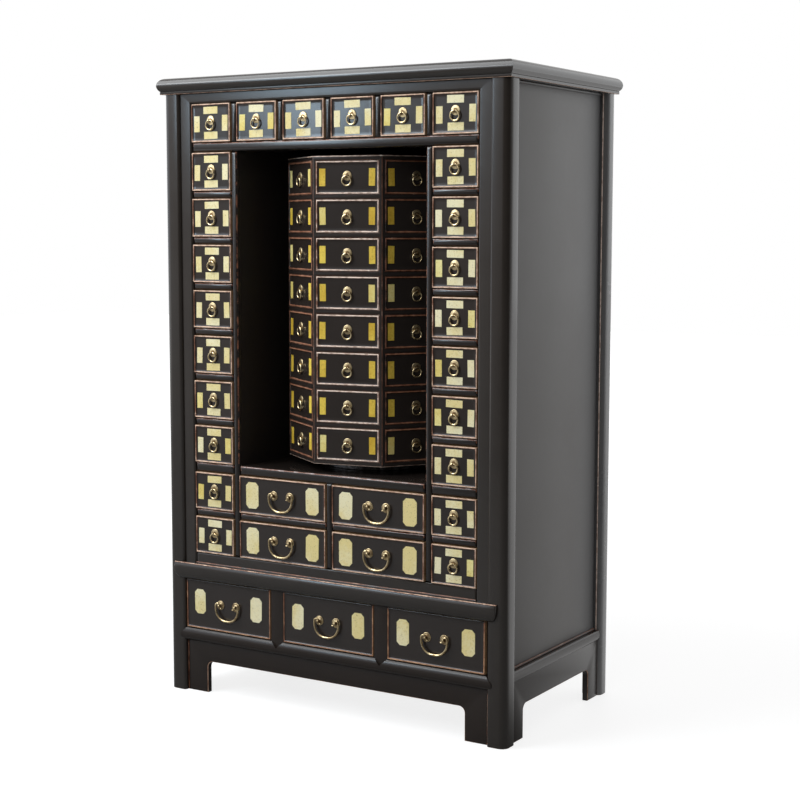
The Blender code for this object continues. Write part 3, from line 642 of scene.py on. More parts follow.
def dressRacks():
    zone, bar, near = cabinet["halfZone"], cabinet["bar"], cabinet["nicheHalf"]
    floor, pitch = cabinet["nicheFloor"], cabinet["pitch"]
    wideHead, nicheHead = cabinet["wideHead"], cabinet["nicheHead"]
    slack, gap, tenon = rackLook["slack"], rackLook["gap"], rackLook["tenon"]
    inner, sill, head = near + bar, cabinet["sillTop"] + slack, nicheHead - slack
    # the shelves of a column, downwards
    tops = [floor + i * pitch for i in range(cabinet["rowsBeside"] - 1, 0, -1)]
    tops += [cabinet["sillTop"] + i * pitch for i in range(cabinet["rowsBelow"] - 1, 0, -1)]
    for hand, side in hands:
        def across(x0, z0, x1, z1):
            xs = sorted((side * x0, side * x1))
            return (xs[0], z0), (xs[1], z1)
        shape = newShape()
        shelves = [across(inner - tenon, z - bar, zone - gap, z) for z in tops]
        shelves.append(across(inner - tenon, wideHead, zone - gap, floor))
        addRackBoards(shape, [across(near, sill, inner, head)], shelves, side * near)
        addOuterWall(shape, side, rackLook["wallFoot"], head)
        makePiece(f"column_bars_{hand}", shape, [barLacquer, nicheLacquer], "carcass",
                  [f"{hand}_column_rack"])
    shape = newShape()
    rowFloor, rowHead = cabinet["topRowFloor"], cabinet["topRowHead"]
    ends = [-zone + i * (2 * zone + bar) / cabinet["topRow"] for i in range(1, cabinet["topRow"])]
    uprights = [((x - bar, rowFloor - tenon), (x, rowHead - gap)) for x in ends]
    addRackBoards(shape, uprights, [((-zone + gap, nicheHead), (zone - gap, rowFloor))])
    for _, side in hands:
        addOuterWall(shape, side, nicheHead, rowHead)
    makePiece("top_row_bars", shape, [barLacquer], "carcass", ["top_row_rack"])
    shape = newShape()
    shelf = cabinet["sillTop"] + cabinet["opening"]
    addRackBoards(shape, [((-bar / 2, sill), (bar / 2, wideHead + tenon))],
                  [((-near + gap, wideHead), (near - gap, floor)),
                   ((-near + gap, shelf), (-bar / 2 + tenon, shelf + bar)),
                   ((bar / 2 - tenon, shelf), (near - gap, shelf + bar))])
    makePiece("lower_bars", shape, [barLacquer], "carcass", ["lower_rack"])


waistLook = {
    "foot": 0.3035, "head": 0.3475, "arris": 0.0030, "rub": 1.0,
    "crest": 0.014, "crestBack": 0.0060, "crestTurn": 52, "endEase": 0.0030, "endRound": 0.013,
    "bead": 0.0026, "beadGlintRub": 0.70, "sillEase": 0.0050,
    "slack": 0.0003, "bed": 0.010, "seat": 0.001, "overlap": 0.0001, "skim": 0.0004,
}


def dressWaist():
    # a sill board with a rolled nose that laps over the posts, and the bar of the lowest drawers on it
    look = waistLook
    low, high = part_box("waist_board")
    foot, head, back, half = look["foot"], look["head"], cabinet["rackBack"], cabinet["halfBase"]
    nose, recess, postFront, arris = low.y, cabinet["baseFront"], cabinet["postFront"], look["arris"]
    crest, turnBack, turn = head - look["crest"], look["crestBack"], look["crestTurn"]
    roll = arcPoints((recess, crest), (recess - nose, crest - foot), 270, 180, steps=16)[:-1]
    roll += arcPoints((nose + turnBack, crest), (turnBack, look["crest"]), 180, 180 - turn, steps=6)[:-1]
    rim = nose + turnBack * (1 - math.cos(math.radians(turn)))
    edge = arcPoints((rim + arris, head - arris), (arris, arris), 180, 90, steps=6, rub=look["rub"])
    shape = newShape()
    addPrism(shape, [(back, foot, 0), *roll, *edge, (back, head, 0)], "x", -half, half)
    # where the roll leaves the posts
    first = next(i for i, point in enumerate(roll) if point[0] < postFront)
    inside, outside = roll[first - 1], roll[first]
    landing = inside[1] + (inside[0] - postFront) / (inside[0] - outside[0]) * (outside[1] - inside[1])
    lap = [(postFront, landing, 0), *roll[first:], *edge, (postFront, head, 0)]
    under = [min(1, max(0, crest - z) / (crest - landing)) for _, z, _ in lap]
    trim = [look["endRound"] * (1 - math.sqrt(1 - t * t)) for t in under]
    for side in (-1, 1):  # the ends over the posts are rounded and turn under at the foot
        rings = [[(side * (half - look["overlap"]), *spot) for spot in lap]]
        for angle in range(0, 91, 30):
            out = look["endEase"] * (math.sin(math.radians(angle)) - 1)
            inward = look["endEase"] * (1 - math.cos(math.radians(angle)))
            rings.append([(side * (high.x - cut + out), min(y + inward, postFront), z, rub)
                          for cut, (y, z, rub) in zip(trim, lap)])
        rings.append([(x, postFront + look["skim"], z, 0) for x, _, z, _ in rings[-1]])
        addLoft(shape, rings, [range(len(lap))])
    sill, front = cabinet["halfZone"] - look["slack"], cabinet["barFront"]
    bead, seat = look["bead"], look["seat"]
    edges = addBoard(shape, (-sill, front, head - look["bed"]), (sill, back, cabinet["sillTop"]))
    show = [edge for edge in edgesAt(edges, lambda co: co.y < front + tiny) if heights(edge)[1] > head]
    easeEdges(shape, show, look["sillEase"], steps=5)
    # a quarter round in the corner; the pale rubbed line on it is a painted highlight as well as wear
    seam = arcPoints((front, head), (bead, bead), 180, 90, steps=5, rub=look["beadGlintRub"])
    seam = [(front + seat, head - seat, 0), *seam, (front + seat, head + bead, 0)]
    addPrism(shape, seam, "x", -sill, sill)
    makePiece("waist_moulding", shape, [carcassLacquer], "carcass", ["waist_board"],
              smooth=40)


baseLook = {"drawers": 3, "divider": 0.040, "dividerFront": -0.2855, "dividerBed": 0.004, "ease": 0.0022,
            "cheek": 0.005, "bow": 0.014, "bowSteps": 20, "floor": 0.173, "tip": 0.0138,
            "slack": 0.0003, "bed": 0.003}


def baseSpans():
    # the openings of the base drawers, as (left, right)
    edge, divider, count = cabinet["halfBase"] - baseLook["cheek"], baseLook["divider"], baseLook["drawers"]
    width = (2 * edge - (count - 1) * divider) / count
    starts = [-edge + i * (width + divider) for i in range(count)]
    return [(start, start + width) for start in starts]


def dressBase():
    # a half-round rail in three lengths, mitred to the dividers above it and lapped over the posts
    look, half, floor = baseLook, cabinet["halfBase"], baseLook["floor"]
    low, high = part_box("base_rack")
    foot, back, setBack = low.z, high.y, low.y + look["bow"]
    middle, start = (foot + floor) / 2, setBack + look["slack"]
    shape = newShape()
    spans = baseSpans()
    addBoard(shape, (-half, start, foot), (half, back, floor))
    for side in (-1, 1):
        xs = sorted((side * half, side * (half - look["cheek"])))
        edges = addBoard(shape, (xs[0], start, floor - look["bed"]), (xs[1], back, high.z))
        easeEdges(shape, edges, cabinet["hiddenEase"])
    for (_, x0), (x1, _) in zip(spans, spans[1:]):
        addBoard(shape, (x0, start, foot), (x1, back, high.z))
        outline = [(x0, high.z, 0), (x0, floor, 0), ((x0 + x1) / 2, middle, 0),
                   (x1, floor, 0), (x1, high.z, 0)]
        faces = addPrism(shape, outline, "y", look["dividerFront"], setBack + look["dividerBed"])
        edges = dict.fromkeys(edge for face in faces for edge in face.edges)
        upright = [edge for edge in edgesAt(edges, lambda co: co.y < look["dividerFront"] + tiny)
                   if abs(edge.verts[0].co.x - edge.verts[1].co.x) < tiny]
        easeEdges(shape, upright, look["ease"])
    steps, bed = look["bowSteps"], setBack + look["bed"]
    bow = arcPoints((setBack, middle), (look["bow"], (floor - foot) / 2), 270, 90, steps)
    profile = [(y, z) for y, z, _ in bow] + [(bed, floor), (bed, middle), (bed, foot)]
    crown, last = steps // 2, steps + 3
    caps = ([*range(crown + 1), last - 1, last], [*range(crown, last)])  # below and above the rail's crown
    for x0, x1 in spans:
        rings = []
        for edge, way in ((x0, -1), (x1, 1)):
            onPost = abs(edge) > half - look["cheek"] - tiny
            reach = look["cheek"] + look["tip"] if onPost else look["divider"] / 2
            rings.append([(edge + way * reach * min(1, (floor - z) / (floor - middle)), y, z, 0)
                          for y, z in profile])
        addLoft(shape, rings, caps)
    makePiece("base_bars", shape, [railLacquer], "carcass", ["base_rack"], smooth=40)


apronLook = {
    "archH": 0.084, "round": 0.016, "frontLeg": 0.0654, "sideLeg": 0.0582, "ease": 0.0024, "legEase": 0.0036,
    "strip": 0.0064, "stripDepth": 0.002, "slack": 0.0001, "rub": 1.0,
    "railLow": 0.150, "railBow": 0.005, "railSteps": 12, "railRub": 0.5, "thick": 0.015, "lap": 0.006,
}


def archLoop(low, high, head, leg):
    # the outline of an apron between low and high, with legs to the floor and a round-cornered arch
    left, right = low + leg, high - leg
    crown, radii = apronLook["archH"] - apronLook["round"], (apronLook["round"],) * 2
    loop = [(low, head, 0), (low, 0, 0), (left, 0, 0)]
    loop += arcPoints((left + apronLook["round"], crown), radii, 180, 90, steps=8)
    loop += arcPoints((right - apronLook["round"], crown), radii, 90, 0, steps=8)
    return loop + [(right, 0, 0), (high, 0, 0), (high, head, 0)]


def dressFrontApron():
    look = apronLook
    low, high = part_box("front_apron")
    shape = newShape()
    addPrism(shape, archLoop(low.x, high.x, high.z, look["frontLeg"]), "y", low.y, high.y)

    def atEnds():
        return edgesAt(shape.edges, lambda co: abs(co.x) > high.x - tiny and co.y < low.y + tiny)
    outer = atEnds()
    rim = [edge for edge in edgesAt(shape.edges, lambda co: co.y < low.y + tiny)
           if heights(edge)[0] < high.z - tiny and edge not in outer]
    easeEdges(shape, rim, look["ease"], look["rub"])
    easeEdges(shape, atEnds(), look["legEase"], look["rub"])
    for side in (-1, 1):  # a worn line beside the posts
        cutAcross(shape, (side * (high.x - look["strip"]), 0, 0), (1, 0, 0))
    for vert in shape.verts:
        atEnd = abs(vert.co.x) > high.x - look["legEase"] - look["slack"]
        if atEnd and vert.co.y < low.y + look["stripDepth"]:
            vert[rubLayer(shape)] = look["rub"]
    makePiece("apron_front", shape, [railLacquer], "carcass", ["front_apron"])


def dressSideAprons():
    look, foot, bow, steps = apronLook, apronLook["railLow"], apronLook["railBow"], apronLook["railSteps"]
    for hand, side in hands:
        node = f"side_apron_{hand}"
        low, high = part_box(node)
        outer = (high.x if side > 0 else -low.x) - bow
        inner = outer - look["thick"]
        shape = newShape()
        loop = archLoop(low.y, high.y, foot + look["lap"], look["sideLeg"])
        addPrism(shape, loop, "x", *sorted((side * inner, side * outer)))
        face = edgesAt(shape.edges, lambda co: abs(co.x - side * outer) < tiny)
        easeEdges(shape, [edge for edge in face if heights(edge)[0] < foot], look["ease"], look["rub"])
        middle = (foot + high.z) / 2
        rail = arcPoints((side * outer, middle), (side * bow, (high.z - foot) / 2), -90, 90, steps)
        rail = [(u, v, look["railRub"] if i in (1, steps - 1) else 0) for i, (u, v, _) in enumerate(rail)]
        addPrism(shape, rail + [(side * inner, high.z, 0), (side * inner, foot, 0)], "y", low.y, high.y)
        makePiece(f"apron_{hand}", shape, [railLacquer], "carcass", [node], smooth=40)


dressTop()
dressPosts()
dressPanels()
dressFaceFrame()
dressRacks()
dressWaist()
dressBase()
dressFrontApron()
dressSideAprons()
print("carcass dressed")


# drawer fronts, pulls and labels

beadLook = {  # half-round bead round each front: step inwards, rise, rub at the step's inner line
    "steps": ((0.0004, 0.0008, 0.75), (0.0006, 0.0006, 1.0), (0.0008, 0.0002, 1.0),
              (0.0009, -0.0002, 0.80), (0.0010, -0.0007, 0.45), (0.0008, -0.0009, 0.15),
              (0.0007, -0.0002, 0.0)),
    "start": 0.0016, "width": 0.0060, "corner": 0.012, "depth": 0.004,
    # on the base drawers the head bead is kept unworn and dark as painted shade under the waist's roll
    "shares": (0.58, 0.80, 1.06, 1.02), "baseShares": (0.9, 1.0, 1.05, 0.0),  # left, right, foot, head
}
# how far the panel lies behind the bead's crest
panelSunk = beadLook["start"] - sum(step[1] for step in beadLook["steps"])


def raiseBead(shape, face):
    layer = rubLayer(shape)
    for inset, rise, rub in beadLook["steps"]:
        bmesh.ops.inset_individual(shape, faces=[face], thickness=inset, depth=0, use_even_offset=True)
        normal = face.normal.copy()
        for vert in face.verts:
            vert.co += normal * rise
            vert[layer] = rub


def wearSides(shape, width, foot, height, shares):
    # wears the bead's four sides apart, with a blend at the corners
    far, reach = beadLook["corner"], beadLook["width"]
    middle = foot + height / 2
    cuts = [((side * (width / 2 - far), 0, middle), (1, 0, 0)) for side in (-1, 1)]
    cuts += [((0, 0, middle + side * (height / 2 - far)), (0, 0, 1)) for side in (-1, 1)]
    for spot, way in cuts:
        faces = [face for face in shape.faces if all(vert.co.y < beadLook["depth"] for vert in face.verts)]
        parts = dict.fromkeys(part for face in faces for part in (*face.verts, *face.edges))
        cutAcross(shape, spot, way, [*parts, *faces])
    for vert in shape.verts:
        across, up = vert.co.x / (width / 2 - reach), (vert.co.z - middle) / (height / 2 - reach)
        near = [share for share, level in zip(shares, (-across, across, -up, up)) if level > 1]
        if near:
            vert[rubLayer(shape)] *= sum(near) / len(near)


def facing(shape, way):
    return max(shape.faces, key=lambda face: face.normal.dot(Vector(way)))


def frontPlate(width, height, thickness):
    # a drawer front on its own, crest of the bead on Y = 0, middle at the origin
    shape = newShape()
    addBoard(shape, (-width / 2, beadLook["start"], -height / 2), (width / 2, thickness, height / 2))
    shape.normal_update()
    raiseBead(shape, facing(shape, (0, -1, 0)))
    wearSides(shape, width, -height / 2, height, beadLook["shares"])
    return shape


boxLook = {"frontT": 0.016, "sideT": 0.009, "floorT": 0.007, "rimEase": 0.0009, "rimStart": 0.005,
           "rimSharp": 60, "towerDepth": 0.1075}


def drawerShape(width, height, depth, backWidth):
    # an open drawer: lacquered front with its bead, bare wood behind it
    look = boxLook
    shape = newShape()
    addBoard(shape, (-width / 2, beadLook["start"], 0), (width / 2, depth, height))
    for vert in shape.verts:
        if vert.co.y > depth / 2:
            vert.co.x *= backWidth / width
    shape.normal_update()
    front, head = facing(shape, (0, -1, 0)), facing(shape, (0, 0, 1))
    for face in shape.faces:
        face.material_index = 0 if face is front else 1
    bmesh.ops.inset_individual(shape, faces=[head], thickness=look["sideT"], depth=0, use_even_offset=True)
    for vert in head.verts:
        vert.co.y = max(vert.co.y, look["frontT"])
    bmesh.ops.inset_individual(shape, faces=[head], thickness=0, depth=look["floorT"] - height)
    rims = edgesAt(sharpEdges(shape, look["rimSharp"]),
                   lambda co: abs(co.z - height) < tiny and co.y > look["rimStart"])
    raiseBead(shape, front)
    bmesh.ops.bevel(shape, geom=rims, offset=look["rimEase"], segments=2, profile=0.5,
                    affect="EDGES", clamp_overlap=True)
    return shape


def turned(profile, steps=28):
    # spins [(radius, out, rub)] about the line that points out of a drawer front
    shape = newShape()
    rings = []
    for radius, out, rub in profile:
        turns = [2 * math.pi * i / steps for i in range(steps if radius > tiny else 1)]
        rings.append([shape.verts.new((radius * math.cos(t), -out, radius * math.sin(t))) for t in turns])
        for vert in rings[-1]:
            vert[rubLayer(shape)] = rub
    for a, b in zip(rings, rings[1:]):
        for i in range(steps):
            j = (i + 1) % steps
            quad = [a[i % len(a)], a[j % len(a)], b[j % len(b)], b[i % len(b)]]
            shape.faces.new(list(dict.fromkeys(quad)))
    bmesh.ops.recalc_face_normals(shape, faces=shape.faces)
    return shape


def wire(points, radii, polish, closed=False):
    # a round wire along points, swept by a curve; hands keep it bright
    curve = bpy.data.curves.new("wire", "CURVE")
    curve.dimensions = "3D"
    curve.bevel_depth = 1.0
    curve.bevel_resolution = 3
    curve.use_fill_caps = True
    line = curve.splines.new("POLY")
    line.points.add(len(points) - 1)
    for point, spot, radius in zip(line.points, points, radii):
        point.co = (*spot, 1)
        point.radius = radius
    line.use_cyclic_u = closed
    holder = putInScene("wire", curve)
    bpy.context.view_layer.update()
    data = bpy.data.meshes.new_from_object(holder.evaluated_get(bpy.context.evaluated_depsgraph_get()))
    shape = newShape()
    shape.from_mesh(data)
    bmesh.ops.remove_doubles(shape, verts=shape.verts, dist=1e-7)
    for vert in shape.verts:
        vert[rubLayer(shape)] = polish
    bpy.data.objects.remove(holder)
    bpy.data.curves.remove(curve)
    bpy.data.meshes.remove(data)
    return shape


ringLook = {  # the rosette is radius, height and rub: a bright disc round a dark eye, its patina deepened as painted shade in the eye
    "rosette": ((0.0, 0.0, 0), (0.0116, 0.0, 0), (0.0119, 0.0006, 1), (0.0115, 0.0013, 1),
                (0.0104, 0.0016, 0.9), (0.0096, 0.0014, 0.1), (0.0086, 0.0017, 0.8),
                (0.0062, 0.0019, 0.3), (0.0040, 0.0020, -0.9), (0.0022, 0.0024, -1.6),
                (0.0018, 0.0036, -1.6), (0.0026, 0.0044, -1.2), (0.0027, 0.0070, -0.9),
                (0.0015, 0.0080, -0.6), (0.0, 0.0082, -0.6)),
    "radius": 0.0118, "wire": 0.0021, "hang": 0.0120, "stand": 0.0057, "lean": 0.0014,
    "polish": 1.2, "steps": 36,
}


def ringPull():
    # rosette with an eye and a hanging ring; Y = 0 is the front's panel
    look, steps = ringLook, ringLook["steps"]
    shape = newShape()
    mergeShape(shape, turned(look["rosette"]), Matrix(), 1)
    points = []
    for i in range(steps):
        t = 2 * math.pi * i / steps
        points.append((look["radius"] * math.sin(t), -look["stand"] + look["lean"] * (1 - math.cos(t)) / 2,
                       -look["hang"] + look["radius"] * math.cos(t)))
    mergeShape(shape, wire(points, [look["wire"]] * steps, look["polish"], closed=True), Matrix(), 0)
    return shape


bailLook = {  # the scroll is measured from the bail's side for four points, then from the pin
    "rosette": ((0.0, 0.0, 0), (0.0118, 0.0, 0), (0.0121, 0.0007, 0.6), (0.0116, 0.0015, 0.6),
                (0.0104, 0.0018, 0.4), (0.0096, 0.0015, -0.2), (0.0084, 0.0020, 0.4),
                (0.0060, 0.0029, 0.3), (0.0040, 0.0034, -0.4), (0.0034, 0.0046, -0.8),
                (0.0034, 0.0090, 0), (0.0024, 0.0104, 0.6), (0.0, 0.0108, 0.6)),
    "pin": 0.025, "halfW": 0.0362, "drop": 0.0392, "sag": 0.0035, "fullness": 0.92, "steps": 18,
    "outerScroll": ((0.0001, 0.0005), (-0.0016, 0.0048), (-0.0056, 0.0066), (-0.0098, 0.0052)),
    "innerScroll": ((-0.0010, 0.0010), (-0.0020, -0.0036), (-0.0046, -0.0066), (-0.0076, -0.0060)),
    "stand": 0.0072, "thick": 0.0030, "thin": 0.0017, "swell": 0.7, "polish": 0.35,
}


def bailPull():
    # two rosettes and a drooping bail with scrolled ends
    look = bailLook
    shape = newShape()
    for side in (-1, 1):
        mergeShape(shape, turned(look["rosette"]), Matrix.Translation((side * look["pin"], 0, 0)), 1)
    half = []
    for i in range(look["steps"] + 1):
        t = math.pi / 2 * (i / look["steps"])
        half.append((look["halfW"] * math.sin(t),
                     -look["drop"] * math.cos(t) ** look["fullness"] - look["sag"] * math.sin(t)))
    half += [(look["halfW"] + x, z) for x, z in look["outerScroll"]]
    half += [(look["pin"] + x, z) for x, z in look["innerScroll"]]
    path = [(-x, z) for x, z in reversed(half[1:])] + half
    shares = [max(0, math.sin(math.pi * i / (len(path) - 1))) ** look["swell"] for i in range(len(path))]
    radii = [look["thin"] + (look["thick"] - look["thin"]) * share for share in shares]
    mergeShape(shape, wire([(x, -look["stand"], z) for x, z in path], radii, look["polish"]), Matrix(), 0)
    return shape


labelLook = {  # form, place from the front's middle, width and height
    "small": (("flat", 0.0, 0.0315, 0.045, 0.018), ("flat", 0.0, -0.0315, 0.043, 0.0185),
              ("tall", -0.0440, -0.003, 0.0176, 0.040), ("tall", 0.0448, -0.001, 0.0176, 0.040)),
    "tower": (("tall", -0.0672, 0.0, 0.0165, 0.0425), ("tall", 0.0650, 0.0, 0.0165, 0.0425)),
    "wide": (("cut", -0.0930, 0.0, 0.039, 0.068), ("cut", 0.0930, 0.0, 0.039, 0.068)),
    "base": (("cut", -0.0920, 0.007, 0.035, 0.065), ("cut", 0.0900, 0.007, 0.036, 0.065)),
    "corner": {"flat": 0.0006, "tall": 0.0006, "cut": 0.0085},
    "straw": {"flat": 0.0, "tall": 0.30, "cut": 0.0},  # share of yellower sheets
    "thick": 0.0005, "bed": 0.0002, "ease": 0.0002, "slip": 0.0007, "tilt": 1.2,
}


def labelShape(kind, seed):
    # bare labels, each laid by hand: a little off and a little turned
    look = labelLook
    dice = random.Random(seed)
    shape = newShape()
    for form, x, z, width, height in look[kind]:
        a, b, cut = width / 2, height / 2, look["corner"][form]
        loop = [(-a + cut, -b, 0), (a - cut, -b, 0), (a, -b + cut, 0), (a, b - cut, 0),
                (a - cut, b, 0), (-a + cut, b, 0), (-a, b - cut, 0), (-a, -b + cut, 0)]
        sheet = newShape()
        addPrism(sheet, loop, "y", -look["thick"], look["bed"])
        rim = edgesAt(sheet.edges, lambda co: co.y < tiny - look["thick"])
        easeEdges(sheet, rim, look["ease"], steps=1)
        slip = [dice.uniform(-1, 1) * look["slip"] for _ in range(2)]
        turn = Matrix.Rotation(math.radians(dice.uniform(-1, 1) * look["tilt"]), 4, "Y")
        yellower = 1 if dice.random() < look["straw"][form] else 0
        mergeShape(shape, sheet, Matrix.Translation((x + slip[0], 0, z + slip[1])) @ turn, yellower)
        sheet.free()
    return shape


ringTemplate, bailTemplate = ringPull(), bailPull()

drawerLook = {  # pull, its height above the front's middle, finish, plane of the front and the names
    "small": (ringTemplate, 0.006, smallFront, "drawerFront",
              [f"top_{i}" for i in range(1, 7)]
              + [f"{hand}_{i}" for hand, _ in hands for i in range(1, 10)]),
    "wide": (bailTemplate, 0.005, wideFront, "drawerFront", [f"wide_{i}" for i in range(1, 5)]),
    "base": (bailTemplate, 0.005, baseFront, "baseFront", [f"base_{i}" for i in range(1, 4)]),
}


def dressDrawer(node, kind, pull, rise, skin, frontY, depth, size, paper=creamPaper,
                taper=0.0, turn=Matrix()):
    # size is (middle x, foot z, width, height) in the frame that turn carries to its place
    x, foot, width, height = size
    place = turn @ Matrix.Translation((x, frontY, foot))
    shape = drawerShape(width, height, depth, width - 2 * depth * taper)
    wearSides(shape, width, 0, height, beadLook["baseShares" if kind == "base" else "shares"])
    shape.transform(place)
    makePiece(f"{node}_box", shape, [skin, drawerWood], node, [node], smooth=40)
    middle = place @ Matrix.Translation((0, panelSunk, height / 2))
    shape = newShape()
    mergeShape(shape, pull, middle @ Matrix.Translation((0, 0, rise)))
    makePiece(f"{node}_pull", shape, [agedBrass, rosetteBrass], node, smooth=50)
    shape = labelShape(kind, node)
    shape.transform(middle)
    makePiece(f"{node}_labels", shape, [paper, strawPaper], node)


def dressDrawers():
    for kind, (pull, rise, skin, front, names) in drawerLook.items():
        for name in names:
            node = f"drawer_{name}"
            low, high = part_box(node)
            size = ((low.x + high.x) / 2, low.z, high.x - low.x, high.z - low.z)
            dressDrawer(node, kind, pull, rise, skin, cabinet[front], cabinet["drawerDepth"], size)


dressDrawers()
print("drawers dressed")


# revolving tower

towerLook = {
    "rail": 0.0122, "stile": 0.0076, "cap": 0.0057, "proud": 0.0015, "recess": 0.003, "cavity": 0.112,
    "sharp": 30, "ease": 0.0011, "rub": 0.45, "skim": 0.0005,
    "rimSharp": 60, "rimEase": 0.0042, "rimRub": 0.85, "rimSteps": 4, "footEase": 0.0024, "footRub": 0.95,
    "ringRise": 0.004, "frontW": 0.1670, "frontGap": 0.0005, "plate": 0.0044,
}


def narrowFace(face, each):
    # moves the two upright sides of a face towards each other
    middle = face.calc_center_median()
    level = Vector((0, 0, 1)).cross(face.normal).normalized()
    for vert in face.verts:
        vert.co -= level * math.copysign(each, (vert.co - middle).dot(level))


def towerFrame(axis, half, apothem, pitch):
    # the eight-sided case: shallow bays for the fixed fronts, deep ones on the side whose drawers slide
    look, sides, tiers = towerLook, cabinet["sides"], cabinet["tiers"]
    radius, foot, head = cabinet["towerR"], cabinet["towerFoot"], cabinet["towerHead"]
    shape = newShape()
    middle = Matrix.Translation((0, 0, (foot + head) / 2)) @ Matrix.Rotation(half, 4, "Z")
    bmesh.ops.create_cone(shape, cap_ends=True, segments=sides, radius1=radius, radius2=radius,
                          depth=head - foot, matrix=middle)
    for i in range(tiers + 1):
        cutAcross(shape, (0, 0, foot + look["cap"] + i * pitch), (0, 0, 1))
    bays = [face for face in shape.faces if abs(face.normal.z) < 0.5
            and foot + look["cap"] < face.calc_center_median().z < head - look["cap"]]
    bmesh.ops.inset_individual(shape, faces=bays, thickness=look["rail"] / 2, depth=0, use_even_offset=True)
    for face in bays:
        narrowFace(face, look["stile"] - look["rail"] / 2)
    fixed = [face for face in bays if face.normal.y > -math.cos(half)]
    sliding = [face for face in bays if face not in fixed]
    spots = [(face.calc_center_median().z, math.atan2(face.normal.x, -face.normal.y)) for face in fixed]
    bmesh.ops.inset_individual(shape, faces=fixed, thickness=0, depth=-look["recess"])
    bmesh.ops.inset_individual(shape, faces=sliding, thickness=0, depth=-look["cavity"])
    for face in sliding:
        narrowFace(face, look["cavity"] * math.tan(half))
    shape.normal_update()
    outer = edgesAt(sharpEdges(shape, look["sharp"]), lambda co: co.xy.length > apothem - look["skim"])
    ends = edgesAt(outer, lambda co: co.z > head - tiny or co.z < foot + tiny)
    easeEdges(shape, [edge for edge in outer if edge not in ends], look["ease"], look["rub"])
    # the pale rubbed line round the foot is wear and also a painted highlight under the front
    under = edgesAt(sharpEdges(shape, look["rimSharp"]), lambda co: co.z < foot + tiny)
    easeEdges(shape, under, look["footEase"], look["footRub"])
    rim = edgesAt(sharpEdges(shape, look["rimSharp"]), lambda co: co.z > head - tiny)
    easeEdges(shape, rim, look["rimEase"], look["rimRub"], look["rimSteps"])
    shape.transform(axis)
    makePiece("tower_frame", shape, [towerLacquer], "tower", ["tower_case"])
    return spots


def dressTower():
    look, tiers = towerLook, cabinet["tiers"]
    half = math.pi / cabinet["sides"]
    apothem = cabinet["towerR"] * math.cos(half)
    frontY = -apothem - look["proud"]
    pitch = (cabinet["towerHead"] - cabinet["towerFoot"] - 2 * look["cap"]) / tiers
    axis = Matrix.Translation((0, cabinet["towerY"], 0)) @ Matrix.Rotation(cabinet["towerTurn"], 4, "Z")
    columns = {}
    for z, turn in towerFrame(axis, half, apothem, pitch):
        columns.setdefault(round(turn, 3), []).append(z)
    plate = frontPlate(look["frontW"], pitch - look["rail"] - 2 * look["frontGap"], look["plate"])
    for number, (turn, levels) in enumerate(sorted(columns.items())):
        plates, pulls, labels = newShape(), newShape(), newShape()
        for z in levels:
            place = axis @ Matrix.Rotation(turn, 4, "Z") @ Matrix.Translation((0, frontY, z))
            mergeShape(plates, plate, place)
            panel = place @ Matrix.Translation((0, panelSunk, 0))
            mergeShape(pulls, ringTemplate, panel @ Matrix.Translation((0, 0, look["ringRise"])))
            mergeShape(labels, labelShape("tower", f"{number} {z:.3f}"), panel)
        makePiece(f"tower_fronts_{number + 1}", plates, [towerFixed], "tower")
        makePiece(f"tower_pulls_{number + 1}", pulls, [agedBrass, rosetteBrass], "tower",
                  smooth=50)
        makePiece(f"tower_labels_{number + 1}", labels, [ochrePaper, strawPaper], "tower")
    for tier in range(tiers):
        node = f"tower_drawer_{tier + 1}"
        low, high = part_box(node)
        size = (0, low.z, look["frontW"], high.z - low.z)
        dressDrawer(node, "tower", ringTemplate, look["ringRise"], towerLacquer, frontY,
                    boxLook["towerDepth"], size, ochrePaper, math.tan(half), axis)


bearingLook = {"plate": 0.0103, "ease": 0.001, "pin": 0.012, "pinEase": 0.0008, "bore": 0.0124, "steps": 64}


def dressTurntable():
    # two round plates; the lower one carries the pin that the upper one turns on
    look, ease, pin, bore = bearingLook, bearingLook["ease"], bearingLook["pin"], bearingLook["bore"]
    for name, node, body in (("bearing_lower", "turntable_fixed", "carcass"),
                             ("bearing_upper", "turntable_turning", "tower")):
        low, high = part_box(node)
        reach, base, top, head = (high.x - low.x) / 2, low.z, low.z + look["plate"], high.z
        rim = [(reach - ease, base), (reach, base + ease), (reach, top - ease), (reach - ease, top)]
        if body == "carcass":
            profile = [(0.0, base), *rim, (pin, top), (pin, head - look["pinEase"]),
                       (pin - look["pinEase"], head), (0.0, head)]
        else:
            profile = [(bore, base), *rim, (bore, top), (bore, base)]
        shape = turned([(*point, 0) for point in profile], look["steps"])
        shape.transform(Matrix.Translation((0, cabinet["towerY"], 0)) @ Matrix.Rotation(-math.pi / 2, 4, "X"))
        bmesh.ops.remove_doubles(shape, verts=shape.verts, dist=1e-6)
        makePiece(name, shape, [darkSteel], body, [node], smooth=40)


dressTower()
dressTurntable()
print("tower dressed")


# floor, light and camera

stageLook = {  # the pairs are where a change starts and ends: metres on the floor, directions in the room
    "size": 14, "floor": 0.27, "mottle": 0.985, "mottleScale": 1.5, "rough": 0.6, "specular": 0.15,
    "lift": 0.815, "liftFar": 0.26, "liftReach": (1.2, 4.0), "gloss": 0.97, "glossY": (-0.3, 0.5),
    "sheen": 0.45, "sheenReach": (2.0, 8.0), "sheenSlant": (0.35, 0.80),
    "sideSheen": 1.6, "sideSlant": (0.95, 1.7),
    "world": 0.36, "white": (1.0, 1.0, 1.0),
    "roomLow": (0.43, 0.39, 0.37), "roomHigh": (1.50, 1.58, 1.70), "roomTop": (0.80, 0.82, 0.86),
    "roomRight": (0.06, 0.055, 0.05), "roomLeft": (1.15, 1.25, 1.40),
    "wallZ": (-0.04, 0.20), "topZ": (0.25, 0.60), "leftX": (-0.68, -0.88), "rightX": (-0.60, -0.08),
    "backY": (-0.35, 0.6),
}


